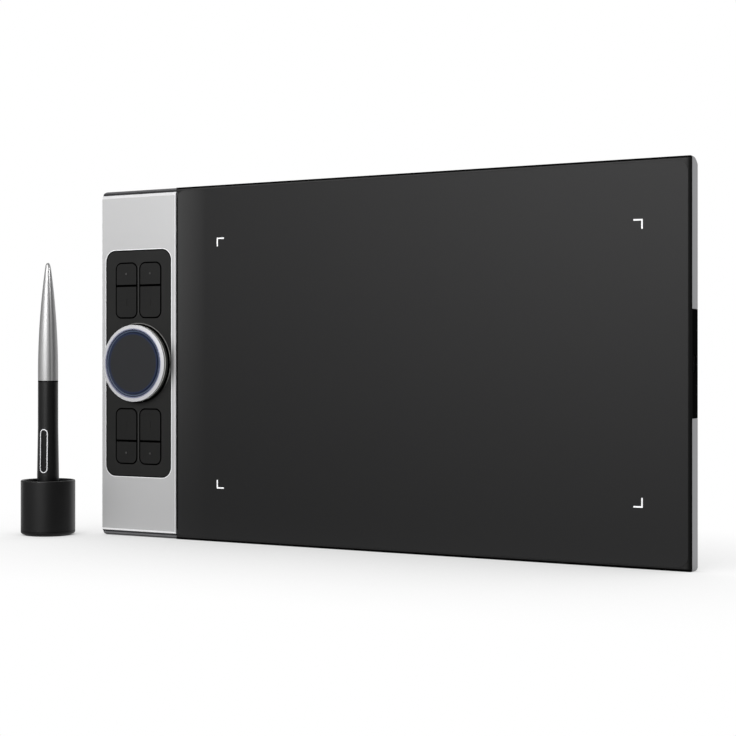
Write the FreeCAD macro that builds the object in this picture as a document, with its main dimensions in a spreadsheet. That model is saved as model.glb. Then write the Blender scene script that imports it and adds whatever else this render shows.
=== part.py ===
import FreeCAD, Part
import math
import os
import re

import Sketcher

# Graphics tablet standing on its lower long edge, with its pen upright in a round cup stand.
# Frame: +X to the right along the tablet, +Y into its back, +Z up; the origin is on the
# floor, in the middle of the lower edge and of the tablet's depth. Millimetres throughout.

SIZES = {
    # whole tablet
    "tablet_length": 362.0,
    "tablet_height": 201.0,
    "tablet_depth": 9.5,
    "outline_radius": 3.0,
    "right_radius": 1.0,
    "split_depth": 1.7,
    # back cover: a thin metal tray
    "edge_depth": 0.75,
    "cover_wall": 1.4,
    "cover_floor": 1.2,
    "top_rise": 5.54,
    "bottom_rise": 4.8,
    "bottom_run": 3.2,
    "side_rise": 2.2,
    "side_run": 1.1,
    "rim_inset": 4.7,
    "rim_depth": 2.4,
    "cover_rib": 1.0,
    "cover_rib_height": 1.6,
    "cover_rib_pitch": 48.0,
    "edge_break": 0.3,
    # silver strip on the left
    "strip_width": 53.6,
    "strip_plate": 1.0,
    "strip_wall": 1.3,
    "strip_face_inset": 4.15,
    "strip_chamfer": 1.75,
    "strip_chamfer_depth": 0.8,
    "strip_groove": 1.15,
    "strip_groove_depth": 0.45,
    "strip_foot_inset": 0.2,
    "strip_side_chamfer": 0.35,
    "strip_side_foot": 0.1,
    "strip_seam_chamfer": 0.4,
    "strip_screw_side": 12.0,
    # black front frame and the drawing sheet
    "seam_gap": 0.4,
    "rim_width": 1.8,
    "rim_bevel": 1.6,
    "rim_edge": 0.25,
    "sheet_thickness": 0.5,
    "sheet_gap": 0.1,
    "sheet_corner": 5.5,
    "rolloff_length": 15.4,
    "rolloff_drop": 0.5,
    "skirt_gap": 0.2,
    "skirt_wall": 1.2,
    "skirt_depth": 2.2,
    "tongue_reach": 2.6,
    "tongue_thickness": 0.8,
    "frame_screw_side": 10.0,
    "frame_screw_from_strip": 11.8,
    "frame_screw_from_right": 12.0,
    # screws through the back cover
    "cover_boss_radius": 2.8,
    "cover_screw_radius": 1.0,
    "cover_screw_reach": 4.2,
    "cover_head_radius": 1.9,
    "cover_head_depth": 0.7,
    "screw_gap": 0.15,
    # control panel
    "panel_left": 3.3,
    "panel_right": 3.2,
    "panel_height": 131.4,
    "panel_corner": 6.5,
    "panel_gap": 0.15,
    "panel_recess": 0.15,
    "panel_flange": 1.1,
    "panel_key_wall": 1.0,
    "panel_key_room": 1.0,
    # keys
    "key_side": 7.1,
    "key_web": 1.7,
    "key_to_dial": 4.05,
    "key_group_end": 7.2,
    "key_short": 12.9,
    "key_divider": 1.0,
    "key_gap": 0.3,
    "key_corner": 3.7,
    "key_inner_corner": 0.4,
    "key_edge": 0.25,
    "key_proud": 0.15,
    "key_flange": 0.6,
    "key_flange_height": 0.6,
    "key_travel": 0.4,
    "key_play": 0.05,
    "key_stem_radius": 1.5,
    "key_dot_radius": 0.6,
    "key_dot_height": 0.3,
    "key_bar_width": 0.7,
    "key_bar_height": 4.2,
    "key_bar_proud": 0.12,
    # control board behind the keys and the dial
    "control_standoff": 2.0,
    "board_thickness": 1.0,
    "control_board_inset": 1.8,
    "panel_boss_radius": 2.0,
    "panel_boss_inset": 3.7,
    "board_screw_radius": 0.8,
    "board_head_radius": 1.6,
    "board_head_height": 0.8,
    "switch_side": 4.0,
    "switch_height": 1.0,
    "switch_button_radius": 1.0,
    "switch_button_height": 0.3,
    "pad_window": 5.2,
    "pad_inset": 0.7,
    # dial
    "dial_to_side": 1.4,
    "dial_lift": 1.2,
    "dial_wall_height": 3.6,
    "dial_bevel": 2.45,
    "dial_bevel_height": 0.6,
    "dial_lip": 0.3,
    "dial_inner_chamfer": 0.5,
    "dial_recess_gap": 0.75,
    "dial_recess_depth": 0.35,
    "rotor_gap": 0.3,
    "rotor_neck_inset": 1.7,
    "rotor_neck_wall": 2.0,
    "rotor_seat_inset": 0.9,
    "rotor_seat_height": 0.6,
    "rotor_web": 1.2,
    "rotor_collar_radius": 5.5,
    "rotor_collar_length": 2.0,
    "rotor_flange_reach": 1.75,
    "rotor_flange_height": 0.7,
    "rotor_flange_gap": 0.35,
    "bearing_gap": 0.05,
    "detent_radius": 0.9,
    "detent_sink": 0.25,
    "detent_depth": 1.4,
    "detent_nub_radius": 0.7,
    "detent_ring_clearance": 0.85,
    "detent_ring_wall": 0.6,
    "detent_ring_height": 0.6,
    "detent_ring_gap": 0.3,
    "detent_foot_width": 3.0,
    "magnet_clearance": 2.1,
    "magnet_wall": 2.5,
    "magnet_height": 1.5,
    "hub_flange_height": 0.5,
    "hub_plate_height": 0.5,
    "light_width": 1.8,
    "hub_post_radius": 4.0,
    "hub_neck_radius": 3.5,
    "hub_neck_gap": 0.05,
    "hub_bore_radius": 2.4,
    "hub_nut_width": 10.0,
    "hub_nut_height": 1.5,
    "hub_neck_end": 0.3,
    "light_gap": 0.15,
    "light_height": 2.35,
    "light_slope": 0.25,
    "touch_board_height": 0.6,
    "touch_board_inset": 0.7,
    "touch_disc_height": 1.45,
    "touch_disc_edge": 0.3,
    # sensor, shield and main board
    "sensor_from_strip": 19.8,
    "sensor_from_right": 16.0,
    "sensor_side": 21.0,
    "sensor_thickness": 1.0,
    "shield_thickness": 0.3,
    "shield_inset": 1.5,
    "main_board_right": 3.0,
    "main_board_length": 47.0,
    "main_board_height": 50.0,
    "main_board_standoff": 1.15,
    "main_boss_radius": 2.5,
    "main_boss_inset": 3.4,
    # port in the right side
    "port_block_height": 52.9,
    "port_block_reach": 4.6,
    "port_block_wall": 1.2,
    "port_block_gap": 0.1,
    "port_block_floor": 2.25,
    "port_width": 8.94,
    "port_thickness": 3.16,
    "port_length": 7.3,
    "port_shell": 0.3,
    "port_inset": 0.9,
    "port_slot_gap": 0.18,
    "port_tongue": 0.7,
    "port_tongue_width": 6.6,
    "port_tongue_length": 4.4,
    # flat cables
    "ribbon_thickness": 0.3,
    "ribbon_width": 12.0,
    "plug_to_screw": 0.5,
    "connector_length": 5.0,
    "connector_height": 1.0,
    "connector_side": 1.0,
    "sensor_lead_width": 12.0,
    "sensor_lead_above_bottom": 3.0,
    # rubber feet on the back
    "foot_length": 32.0,
    "foot_width": 9.0,
    "foot_proud": 0.8,
    "foot_sink": 0.4,
    "foot_gap": 0.1,
    "foot_from_end": 28.0,
    "foot_from_side": 24.0,
    # pen stand
    "stand_from_left": 27.3,
    "stand_from_front": 16.0,
    "stand_radius": 15.8,
    "stand_height": 32.1,
    "stand_wall": 1.5,
    "stand_lip": 0.7,
    "stand_foot_height": 0.6,
    "stand_foot_inset": 0.8,
    "stand_edge": 1.5,
    "stand_seam": 2.4,
    "stand_seam_gap": 0.2,
    "stand_neck_inset": 3.0,
    "stand_neck_top": 10.4,
    "stand_turn_gap": 0.2,
    "stand_well_radius": 6.4,
    "stand_well_floor": 2.2,
    "stand_web_bottom": 12.6,
    "stand_dish_edge": 20.6,
    "stand_dish_centre": 19.2,
    "liner_radius": 7.6,
    "liner_lip": 1.2,
    "liner_lip_height": 0.9,
    "liner_gap": 0.25,
    "spare_nib_gap": 0.1,
    "spare_nib_bottom": 4.4,
    "spare_nib_length": 7.2,
    # pen
    "pen_turn": 15.7,
    "nib_radius": 0.75,
    "nib_tip": 3.0,
    "nib_length": 25.0,
    "nib_gap": 0.12,
    "nose_bottom": 4.6,
    "nose_tip_radius": 1.6,
    "nose_top": 20.0,
    "nose_top_radius": 5.0,
    "nose_bow": 62.0,
    "nose_spigot": 5.0,
    "nose_cavity_radius": 2.85,
    "nose_cavity_bottom": 12.7,
    "spigot_gap": 0.05,
    "grip_belly": 34.5,
    "grip_belly_radius": 6.37,
    "grip_bow": 78.0,
    "grip_waist": 63.0,
    "grip_waist_radius": 5.9,
    "grip_top": 90.3,
    "grip_top_radius": 5.86,
    "grip_lower_bore": 4.2,
    "grip_bore": 5.0,
    "grip_step": 26.0,
    "tail_tip_height": 2.1,
    "tail_shoulder_radius": 1.55,
    "tail_bow": 475.0,
    "tail_tip": 159.5,
    "tail_tip_flat": 0.35,
    "tail_tip_bow": 2.6,
    "tail_facet_from": 0.45,
    "tail_facet_to": 2.6,
    "tail_facet_height": 7.5,
    "tail_spigot": 6.0,
    "tail_wall": 1.2,
    "tail_bore_top": 118.0,
    "ferrite_radius": 1.6,
    "ferrite_length": 12.0,
    "coil_radius": 2.7,
    "coil_length": 9.5,
    "coil_inset": 1.0,
    "gauge_radius": 3.4,
    "gauge_height": 4.4,
    "gauge_gap": 0.6,
    "pen_board_width": 6.0,
    "pen_board_thickness": 0.8,
    "pen_board_top": 83.0,
    "pen_switch_height": 4.0,
    "pen_switch_side": 3.0,
    "pen_switch_spread": 8.0,
    "bezel_width": 4.8,
    "bezel_height": 25.6,
    "bezel_middle": 49.2,
    "bezel_line": 0.5,
    "bezel_proud": 0.12,
    "bezel_thickness": 0.8,
    "bezel_gap": 0.03,
    "rocker_gap": 0.18,
    "rocker_sunk": 0.04,
    "rocker_thickness": 1.0,
    "rocker_lug_width": 2.2,
    "rocker_lug_height": 2.4,
    "rocker_pin_radius": 0.4,
    "rocker_pin_depth": 3.9,
    "rocker_pin_length": 7.8,
    "rocker_pin_gap": 0.05,
}
DETENTS = 36
SPARE_NIBS = 8

doc = FreeCAD.newDocument("graphics_tablet")
sheet = doc.addObject("Spreadsheet::Sheet", "Sizes")
for row, (alias, millimetres) in enumerate(SIZES.items(), 1):
    sheet.set(f"A{row}", alias.replace("_", " "))
    sheet.set(f"B{row}", str(millimetres))
    sheet.setAlias(f"B{row}", alias)
doc.recompute()

# Planes and lines that many pieces share, as expressions on the sheet.
LEFT = "(-tablet_length / 2)"
RIGHT = "(tablet_length / 2)"
FRONT = "(-tablet_depth / 2)"
REAR = "(tablet_depth / 2)"
SEAM = f"({FRONT} + split_depth)"
FLOOR = f"({REAR} - cover_floor)"
MIDDLE = "(tablet_height / 2)"
STRIP_RIGHT = f"({LEFT} + strip_width)"
FRAME_LEFT = f"({STRIP_RIGHT} + seam_gap)"
EDGE_FRONT = f"({FRONT} + edge_depth)"
PANEL_FRONT = f"({FRONT} + panel_recess)"
PANEL_LEFT = f"({LEFT} + panel_left)"
PANEL_WIDTH = "(strip_width - panel_left - panel_right)"
PANEL_RIGHT = f"({PANEL_LEFT} + {PANEL_WIDTH})"
PANEL_BOTTOM = f"({MIDDLE} - panel_height / 2)"
PANEL_TOP = f"({MIDDLE} + panel_height / 2)"
DIAL_X = f"({PANEL_LEFT} + {PANEL_WIDTH} / 2)"
DIAL_RADIUS = f"({PANEL_WIDTH} / 2 - dial_to_side)"
NECK_RADIUS = f"({DIAL_RADIUS} - rotor_neck_inset)"
CONTROL_FRONT = f"({SEAM} + control_standoff)"
CONTROL_REAR = f"({CONTROL_FRONT} + board_thickness)"
MAIN_REAR = f"({FLOOR} - main_board_standoff)"
MAIN_FRONT = f"({MAIN_REAR} - board_thickness)"
STAND_X = f"({LEFT} - stand_from_left)"
STAND_Y = f"({FRONT} - stand_from_front)"

NODES = {}
WORD = re.compile(r"[a-z_][a-z_0-9]*")


def sized(text):
    """An expression with each size's name pointing at its cell."""
    return WORD.sub(lambda word: "Sizes." + word[0] if word[0] in SIZES else word[0], str(text))


def value(text):
    found = sheet.evalExpression(sized(text))
    return float(getattr(found, "Value", found))


def bind(thing, **texts):
    for name, text in texts.items():
        thing.setExpression(name, sized(text))


def place(thing, x="0", y="0", z="0"):
    for axis, text in zip("xyz", (x, y, z)):
        thing.setExpression("Placement.Base." + axis, sized(text))


def finish(node, thing):
    thing.Label = node
    NODES[node] = thing
    return thing


# Sketches. A plan sketch lies in X and Z at a depth y, a level sketch in X and Y at a height
# z, and a side sketch in Y and Z at a station x. Every point is bound to the sheet.
PLANES = {"plan": "XZ_Plane", "level": "XY_Plane", "side": "YZ_Plane"}


def sketch(owner, kind, at="0"):
    drawing = owner.newObject("Sketcher::SketchObject", kind)
    base = next(f for f in owner.Origin.OriginFeatures if f.Role == PLANES[kind])
    drawing.AttachmentSupport = [(base, "")]
    drawing.MapMode = "FlatFace"
    offset = f"-({at})" if kind == "plan" else at
    drawing.setExpression("AttachmentOffset.Base.z", sized(offset))
    return drawing


def dimension(drawing, kind, *where, text):
    index = drawing.addConstraint(Sketcher.Constraint(kind, *where, value(text)))
    drawing.setExpression(f"Constraints[{index}]", sized(text))


def pin_point(drawing, geometry, end, x, y):
    dimension(drawing, "DistanceX", -1, 1, geometry, end, text=x)
    dimension(drawing, "DistanceY", -1, 1, geometry, end, text=y)


def circle(drawing, radius, x="0", y="0"):
    centre = FreeCAD.Vector(value(x), value(y))
    index = drawing.addGeometry(Part.Circle(centre, FreeCAD.Vector(0, 0, 1), value(radius)))
    dimension(drawing, "Radius", index, text=radius)
    pin_point(drawing, index, 3, x, y)


def arc_between(start, end, radius, side):
    """A circular arc from start to end that bows to the left (1) or right (-1) of the way."""
    chord = end - start
    half = chord.Length / 2
    back = math.sqrt(max(radius**2 - half**2, 0))
    inward = FreeCAD.Vector(chord.y, -chord.x).normalize() * side
    centre = (start + end) / 2 + inward * back
    angles = [math.atan2(spot.y - centre.y, spot.x - centre.x) for spot in (start, end)]
    if side > 0:
        angles.reverse()
    if angles[1] < angles[0]:
        angles[1] += 2 * math.pi
    whole = Part.Circle(centre, FreeCAD.Vector(0, 0, 1), radius)
    return Part.ArcOfCircle(whole, angles[0], angles[1])


def outline(drawing, points):
    """A closed line through points (x, y), or (x, y, radius, side) where an arc sets off."""
    spots = [FreeCAD.Vector(value(p[0]), value(p[1])) for p in points]
    first = drawing.GeometryCount
    for index, point in enumerate(points):
        start = spots[index]
        end = spots[(index + 1) % len(points)]
        if len(point) == 2:
            drawing.addGeometry(Part.LineSegment(start, end))
        else:
            drawing.addGeometry(arc_between(start, end, value(point[2]), point[3]))
    turned_round = []
    for index, point in enumerate(points):
        geometry = drawing.Geometry[first + index]
        near = (geometry.StartPoint - spots[index]).Length
        far = (geometry.EndPoint - spots[index]).Length
        turned_round.append(near > far)
    for index, point in enumerate(points):
        follower = (index + 1) % len(points)
        leave = 1 if turned_round[index] else 2
        enter = 2 if turned_round[follower] else 1
        join = Sketcher.Constraint("Coincident", first + index, leave, first + follower, enter)
        drawing.addConstraint(join)
    for index, point in enumerate(points):
        pin_point(drawing, first + index, 2 if turned_round[index] else 1, point[0], point[1])
        if len(point) > 2:
            dimension(drawing, "Radius", first + index, text=point[2])


def rectangle(drawing, left, bottom, right, top, corner=None):
    if corner is None:
        outline(drawing, [(left, bottom), (right, bottom), (right, top), (left, top)])
        return
    corner = f"({corner})"
    outline(drawing, [
        (f"{left} + {corner}", bottom),
        (f"{right} - {corner}", bottom, corner, -1),
        (right, f"{bottom} + {corner}"),
        (right, f"{top} - {corner}", corner, -1),
        (f"{right} - {corner}", top),
        (f"{left} + {corner}", top, corner, -1),
        (left, f"{top} - {corner}"),
        (left, f"{bottom} + {corner}", corner, -1),
    ])


def stadium(drawing, width, height, middle):
    """An upright slot shape about x = 0, with its middle at the given height."""
    radius = f"({width} / 2)"
    reach = f"(({height} - {width}) / 2)"
    half, low, high = value(radius), value(f"{middle} - {reach}"), value(f"{middle} + {reach}")
    corners = [FreeCAD.Vector(x, y) for x, y in
               ((half, low), (half, high), (-half, high), (-half, low))]
    above = FreeCAD.Vector(0, high + half)
    below = FreeCAD.Vector(0, low - half)
    first = drawing.addGeometry(Part.LineSegment(corners[0], corners[1]))
    drawing.addGeometry(Part.Arc(corners[1], above, corners[2]))
    drawing.addGeometry(Part.LineSegment(corners[2], corners[3]))
    drawing.addGeometry(Part.Arc(corners[3], below, corners[0]))
    for line, line_end, arc, arc_end in ((0, 2, 1, 1), (2, 1, 1, 2), (2, 2, 3, 1), (0, 1, 3, 2)):
        drawing.addConstraint(
            Sketcher.Constraint("Tangent", first + line, line_end, first + arc, arc_end))
    drawing.addConstraint(Sketcher.Constraint("Equal", first + 1, first + 3))
    dimension(drawing, "Radius", first + 1, text=radius)
    pin_point(drawing, first + 1, 3, "0", f"{middle} + {reach}")
    pin_point(drawing, first + 3, 3, "0", f"{middle} - {reach}")


# Features on a body.
def new_body():
    return doc.addObject("PartDesign::Body", "piece")


def pad(owner, drawing, length, backwards=False):
    feature = owner.newObject("PartDesign::Pad", "pad")
    feature.Profile = drawing
    feature.Reversed = backwards
    bind(feature, Length=length)
    drawing.Visibility = False
    return feature


def pocket(owner, drawing, length=None, backwards=False):
    feature = owner.newObject("PartDesign::Pocket", "pocket")
    feature.Profile = drawing
    feature.Reversed = backwards
    if length is None:
        feature.Type = "ThroughAll"
        feature.Midplane = True
    else:
        bind(feature, Length=length)
    drawing.Visibility = False
    return feature


def plate(owner, draw, front, rear):
    """Stock between two depths, outlined by draw in a plan sketch."""
    drawing = sketch(owner, "plan", rear)
    draw(drawing)
    return pad(owner, drawing, f"({rear}) - ({front})")


def recess(owner, draw, front, rear):
    """A cut between two depths, outlined by draw in a plan sketch."""
    drawing = sketch(owner, "plan", front)
    draw(drawing)
    return pocket(owner, drawing, f"({rear}) - ({front})")


def turned(owner, kind, points):
    """A body of revolution about the sketch's upright axis."""
    drawing = sketch(owner, kind)
    outline(drawing, points)
    feature = owner.newObject("PartDesign::Revolution", "turned")
    feature.Profile = drawing
    feature.ReferenceAxis = (drawing, ["V_Axis"])
    feature.Angle = 360
    return feature


def ring_pattern(owner, feature, axis_role, count):
    pattern = owner.newObject("PartDesign::PolarPattern", "ring")
    pattern.Originals = [feature]
    axis = next(f for f in owner.Origin.OriginFeatures if f.Role == axis_role)
    pattern.Axis = (axis, [""])
    pattern.Angle = 360
    pattern.Occurrences = count
    owner.Tip = pattern
    return pattern


def along(edge, axis):
    """Whether a straight edge runs along the given axis, 0 for X, 1 for Y, 2 for Z."""
    if len(edge.Vertexes) != 2 or edge.Curve.TypeId != "Part::GeomLine":
        return False
    way = edge.Vertexes[1].Point - edge.Vertexes[0].Point
    return abs(way[axis]) > 0.999 * way.Length


def edges_where(owner, test):
    doc.recompute()
    return [f"Edge{i}" for i, edge in enumerate(owner.Tip.Shape.Edges, 1) if test(edge)]


def fillet(owner, radius, test):
    names = edges_where(owner, test)
    base = owner.Tip
    feature = owner.newObject("PartDesign::Fillet", "fillet")
    feature.Base = (base, names)
    bind(feature, Radius=radius)
    return feature


# Simple solids and what is made of them.
def box(x_from, x_to, y_from, y_to, z_from, z_to):
    solid = doc.addObject("Part::Box", "block")
    bind(solid, Length=f"({x_to}) - ({x_from})", Width=f"({y_to}) - ({y_from})",
         Height=f"({z_to}) - ({z_from})")
    place(solid, x_from, y_from, z_from)
    return solid


def rod(radius, axis, start, end, first="0", second="0"):
    """A cylinder along y or z; first and second place it across, in the axes' own order."""
    solid = doc.addObject("Part::Cylinder", "rod")
    bind(solid, Radius=radius, Height=f"({end}) - ({start})")
    if axis == "y":
        turn = FreeCAD.Rotation(FreeCAD.Vector(1, 0, 0), -90)
        solid.Placement = FreeCAD.Placement(FreeCAD.Vector(), turn)
        place(solid, first, start, second)
    else:
        place(solid, first, second, start)
    return solid


def fuse(solids):
    if len(solids) == 1:
        return solids[0]
    result = doc.addObject("Part::MultiFuse", "joined")
    result.Shapes = solids
    return result


def group(solids):
    result = doc.addObject("Part::Compound", "set")
    result.Links = solids
    return result


def stand_here(thing, turn=0):
    """Moves a piece that was drawn about the Z axis to the pen stand's axis."""
    if turn:
        rotation = FreeCAD.Rotation(FreeCAD.Vector(0, 0, 1), 0)
        thing.Placement = FreeCAD.Placement(FreeCAD.Vector(), rotation)
        thing.setExpression("Placement.Rotation.Angle", sized("pen_turn"))
    place(thing, STAND_X, STAND_Y, "0")
    return thing


# Screw places, as (x, z): four in the strip and six in the front frame.
STRIP_SCREWS = [(f"{LEFT} + {x}", z)
                for x in ("strip_screw_side", "strip_width - strip_screw_side")
                for z in ("strip_screw_side", "tablet_height - strip_screw_side")]
FIRST_SCREW = f"({STRIP_RIGHT} + frame_screw_from_strip)"
LAST_SCREW = f"({RIGHT} - frame_screw_from_right)"
FRAME_SCREWS = [(x, z)
                for x in (FIRST_SCREW, f"({FIRST_SCREW} + {LAST_SCREW}) / 2", LAST_SCREW)
                for z in ("frame_screw_side", "tablet_height - frame_screw_side")]
PANEL_SCREWS = [(x, z)
                for x in (f"{PANEL_LEFT} + panel_boss_inset", f"{PANEL_RIGHT} - panel_boss_inset")
                for z in (f"{PANEL_BOTTOM} + panel_boss_inset", f"{PANEL_TOP} - panel_boss_inset")]
MAIN_BOARD_LEFT = f"({RIGHT} - main_board_right - main_board_length)"
MAIN_BOARD_RIGHT = f"({RIGHT} - main_board_right)"
MAIN_BOARD_BOTTOM = f"({MIDDLE} - main_board_height / 2)"
MAIN_BOARD_TOP = f"({MIDDLE} + main_board_height / 2)"
MAIN_SCREWS = [(x, z)
               for x in (f"{MAIN_BOARD_LEFT} + main_boss_inset",
                         f"{MAIN_BOARD_RIGHT} - 4 * main_boss_inset")
               for z in (f"{MAIN_BOARD_BOTTOM} + main_boss_inset",
                         f"{MAIN_BOARD_TOP} - main_boss_inset")]
FEET = [(x, z)
        for x in (f"{LEFT} + foot_from_end", f"{RIGHT} - foot_from_end")
        for z in ("foot_from_side", "tablet_height - foot_from_side")]


def circles_at(places, radius):
    def draw(drawing):
        for x, z in places:
            circle(drawing, radius, x, z)
    return draw


def inset_outline(inset, corner=None, left=LEFT):
    def draw(drawing):
        rectangle(drawing, f"{left} + {inset}", inset, f"{RIGHT} - {inset}",
                  f"tablet_height - {inset}", corner)
    return draw


# Back cover. The blank is shared with the port block, which continues its outer shape.
# Its upper edge curves to the back plane in one long arc, its lower edge keeps a flat to
# stand on, and its short sides are upright with a small round.
TOP_ARC = "(((tablet_depth - edge_depth) ^ 2 + top_rise ^ 2) / (2 * top_rise))"
BOTTOM_ARC = "((bottom_rise ^ 2 + bottom_run ^ 2) / (2 * bottom_run))"
SIDE_ARC = "((side_rise ^ 2 + side_run ^ 2) / (2 * side_run))"


def cover_outline(drawing):
    outline(drawing, [
        (f"{LEFT} + outline_radius", "0"),
        (f"{RIGHT} - right_radius", "0", "right_radius", -1),
        (RIGHT, "right_radius"),
        (RIGHT, "tablet_height - right_radius", "right_radius", -1),
        (f"{RIGHT} - right_radius", "tablet_height"),
        (f"{LEFT} + outline_radius", "tablet_height", "outline_radius", -1),
        (LEFT, "tablet_height - outline_radius"),
        (LEFT, "outline_radius", "outline_radius", -1),
    ])


def cover_blank():
    owner = new_body()
    plate(owner, cover_outline, EDGE_FRONT, REAR)
    ends = sketch(owner, "side", "0")
    outline(ends, [
        (f"{REAR} - bottom_run", "0", BOTTOM_ARC, -1),
        (REAR, "bottom_rise"),
        (f"{REAR} + 1", "bottom_rise"),
        (f"{REAR} + 1", "-1"),
        (f"{REAR} - bottom_run", "-1"),
    ])
    outline(ends, [
        (EDGE_FRONT, "tablet_height", TOP_ARC, 1),
        (REAR, "tablet_height - top_rise"),
        (f"{REAR} + 1", "tablet_height - top_rise"),
        (f"{REAR} + 1", "tablet_height + 1"),
        (EDGE_FRONT, "tablet_height + 1"),
    ])
    pocket(owner, ends)
    sides = sketch(owner, "level", MIDDLE)
    for edge, inward, side in ((LEFT, "+", 1), (RIGHT, "-", -1)):
        outline(sides, [
            (edge, f"{REAR} - side_run", SIDE_ARC, side),
            (f"{edge} {inward} side_rise", REAR),
            (f"{edge} {inward} side_rise", f"{REAR} + 1"),
            (f"{edge} {inward} (-1)", f"{REAR} + 1"),
            (f"{edge} {inward} (-1)", f"{REAR} - side_run"),
        ])
    pocket(owner, sides)
    return owner


def draw_port_bay(drawing, gap="0"):
    low = f"{MIDDLE} - port_block_height / 2 - {gap}"
    high = f"{MIDDLE} + port_block_height / 2 + {gap}"
    rectangle(drawing, f"{RIGHT} - port_block_reach - {gap}", low, f"{RIGHT} + 1", high)


def back_cover():
    owner = cover_blank()
    recess(owner, inset_outline("cover_wall", "outline_radius - cover_wall"),
           f"{EDGE_FRONT} - 1", f"{SEAM} + rim_depth")
    recess(owner, inset_outline("rim_inset", "outline_radius"), SEAM, FLOOR)

    def under_the_strip(drawing):
        rectangle(drawing, f"{LEFT} - 1", "-1", FRAME_LEFT, "tablet_height + 1")

    recess(owner, under_the_strip, f"{EDGE_FRONT} - 1", SEAM)
    recess(owner, lambda d: draw_port_bay(d, "port_block_gap"), f"{EDGE_FRONT} - 1",
           f"{REAR} + 1")
    plate(owner, circles_at(MAIN_SCREWS, "main_boss_radius"), MAIN_REAR, FLOOR)
    recess(owner, circles_at(MAIN_SCREWS, "board_screw_radius"), MAIN_REAR, FLOOR)

    def ribs(drawing):
        count = int((value("tablet_length") - 2 * value("rim_inset")) / value("cover_rib_pitch"))
        for step in range(1, count):
            x = f"{FRAME_LEFT} + {step} * cover_rib_pitch - cover_rib_pitch / 2"
            if value(x) > value(MAIN_BOARD_LEFT) - value("cover_rib_pitch") / 4:
                break
            rectangle(drawing, x, "frame_screw_side * 2", f"{x} + cover_rib",
                      "tablet_height - frame_screw_side * 2")

    plate(owner, ribs, f"{FLOOR} - cover_rib_height", FLOOR)
    screws = STRIP_SCREWS + FRAME_SCREWS
    recess(owner, circles_at(screws, "cover_screw_radius + screw_gap"), SEAM, f"{REAR} + 1")
    recess(owner, circles_at(screws, "cover_head_radius + screw_gap"),
           f"{REAR} - cover_head_depth", f"{REAR} + 1")

    def foot_beds(drawing):
        for x, z in FEET:
            draw_foot(drawing, x, z, "foot_gap")

    recess(owner, foot_beds, f"{REAR} - foot_sink", f"{REAR} + 1")
    return finish("back_cover", owner)


def draw_foot(drawing, x, z, gap="0"):
    rectangle(drawing, f"{x} - foot_length / 2 - {gap}", f"{z} - foot_width / 2 - {gap}",
              f"{x} + foot_length / 2 + {gap}", f"{z} + foot_width / 2 + {gap}",
              f"(foot_width / 2.2 + {gap})")


def rubber_feet():
    feet = []
    for x, z in FEET:
        owner = new_body()
        plate(owner, lambda d: draw_foot(d, x, z), f"{REAR} - foot_sink", f"{REAR} + foot_proud")
        feet.append(owner)
    return finish("rubber_feet", group(feet))


def cover_screws():
    screws = []
    for x, z in STRIP_SCREWS + FRAME_SCREWS:
        head_top = f"{REAR} - screw_gap / 2"
        shank = rod("cover_screw_radius", "y", f"{REAR} - cover_head_depth - cover_screw_reach",
                    f"{REAR} - cover_head_depth / 2", x, z)
        head = rod("cover_head_radius", "y", f"{REAR} - cover_head_depth", head_top, x, z)
        screws.append(fuse([shank, head]))
    return finish("cover_screws", group(screws))


# Port block: the black insert in the right side, cut from the cover's own outer shape.
def port_block():
    owner = cover_blank()

    def all_but_the_block(drawing):
        rectangle(drawing, f"{LEFT} - 1", "-1", f"{RIGHT} + 2", "tablet_height + 1")
        low = f"{MIDDLE} - port_block_height / 2"
        high = f"{MIDDLE} + port_block_height / 2"
        rectangle(drawing, f"{RIGHT} - port_block_reach", low, f"{RIGHT} + 1", high)

    recess(owner, all_but_the_block, f"{EDGE_FRONT} - 1", f"{REAR} + 1")

    def under_the_frame(drawing):
        rectangle(drawing, f"{RIGHT} - port_block_reach - 1", "-1", f"{RIGHT} - cover_wall",
                  "tablet_height + 1")

    recess(owner, under_the_frame, f"{EDGE_FRONT} - 1", SEAM)

    def hollow(drawing):
        rectangle(drawing, f"{RIGHT} - port_block_reach - 1",
                  f"{MIDDLE} - port_block_height / 2 + port_block_wall",
                  f"{RIGHT} - port_block_wall",
                  f"{MIDDLE} + port_block_height / 2 - port_block_wall")

    recess(owner, hollow, SEAM, f"{REAR} - port_block_floor")
    slot = sketch(owner, "side", f"{RIGHT} + 1")
    middle = f"({MAIN_FRONT} - port_thickness / 2)"
    rectangle(slot, f"{middle} - port_thickness / 2 - port_slot_gap",
              f"{MIDDLE} - port_width / 2 - port_slot_gap",
              f"{middle} + port_thickness / 2 + port_slot_gap",
              f"{MIDDLE} + port_width / 2 + port_slot_gap", "(port_thickness / 2.2)")
    pocket(owner, slot, "port_block_reach")
    return finish("port_block", owner)


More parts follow.
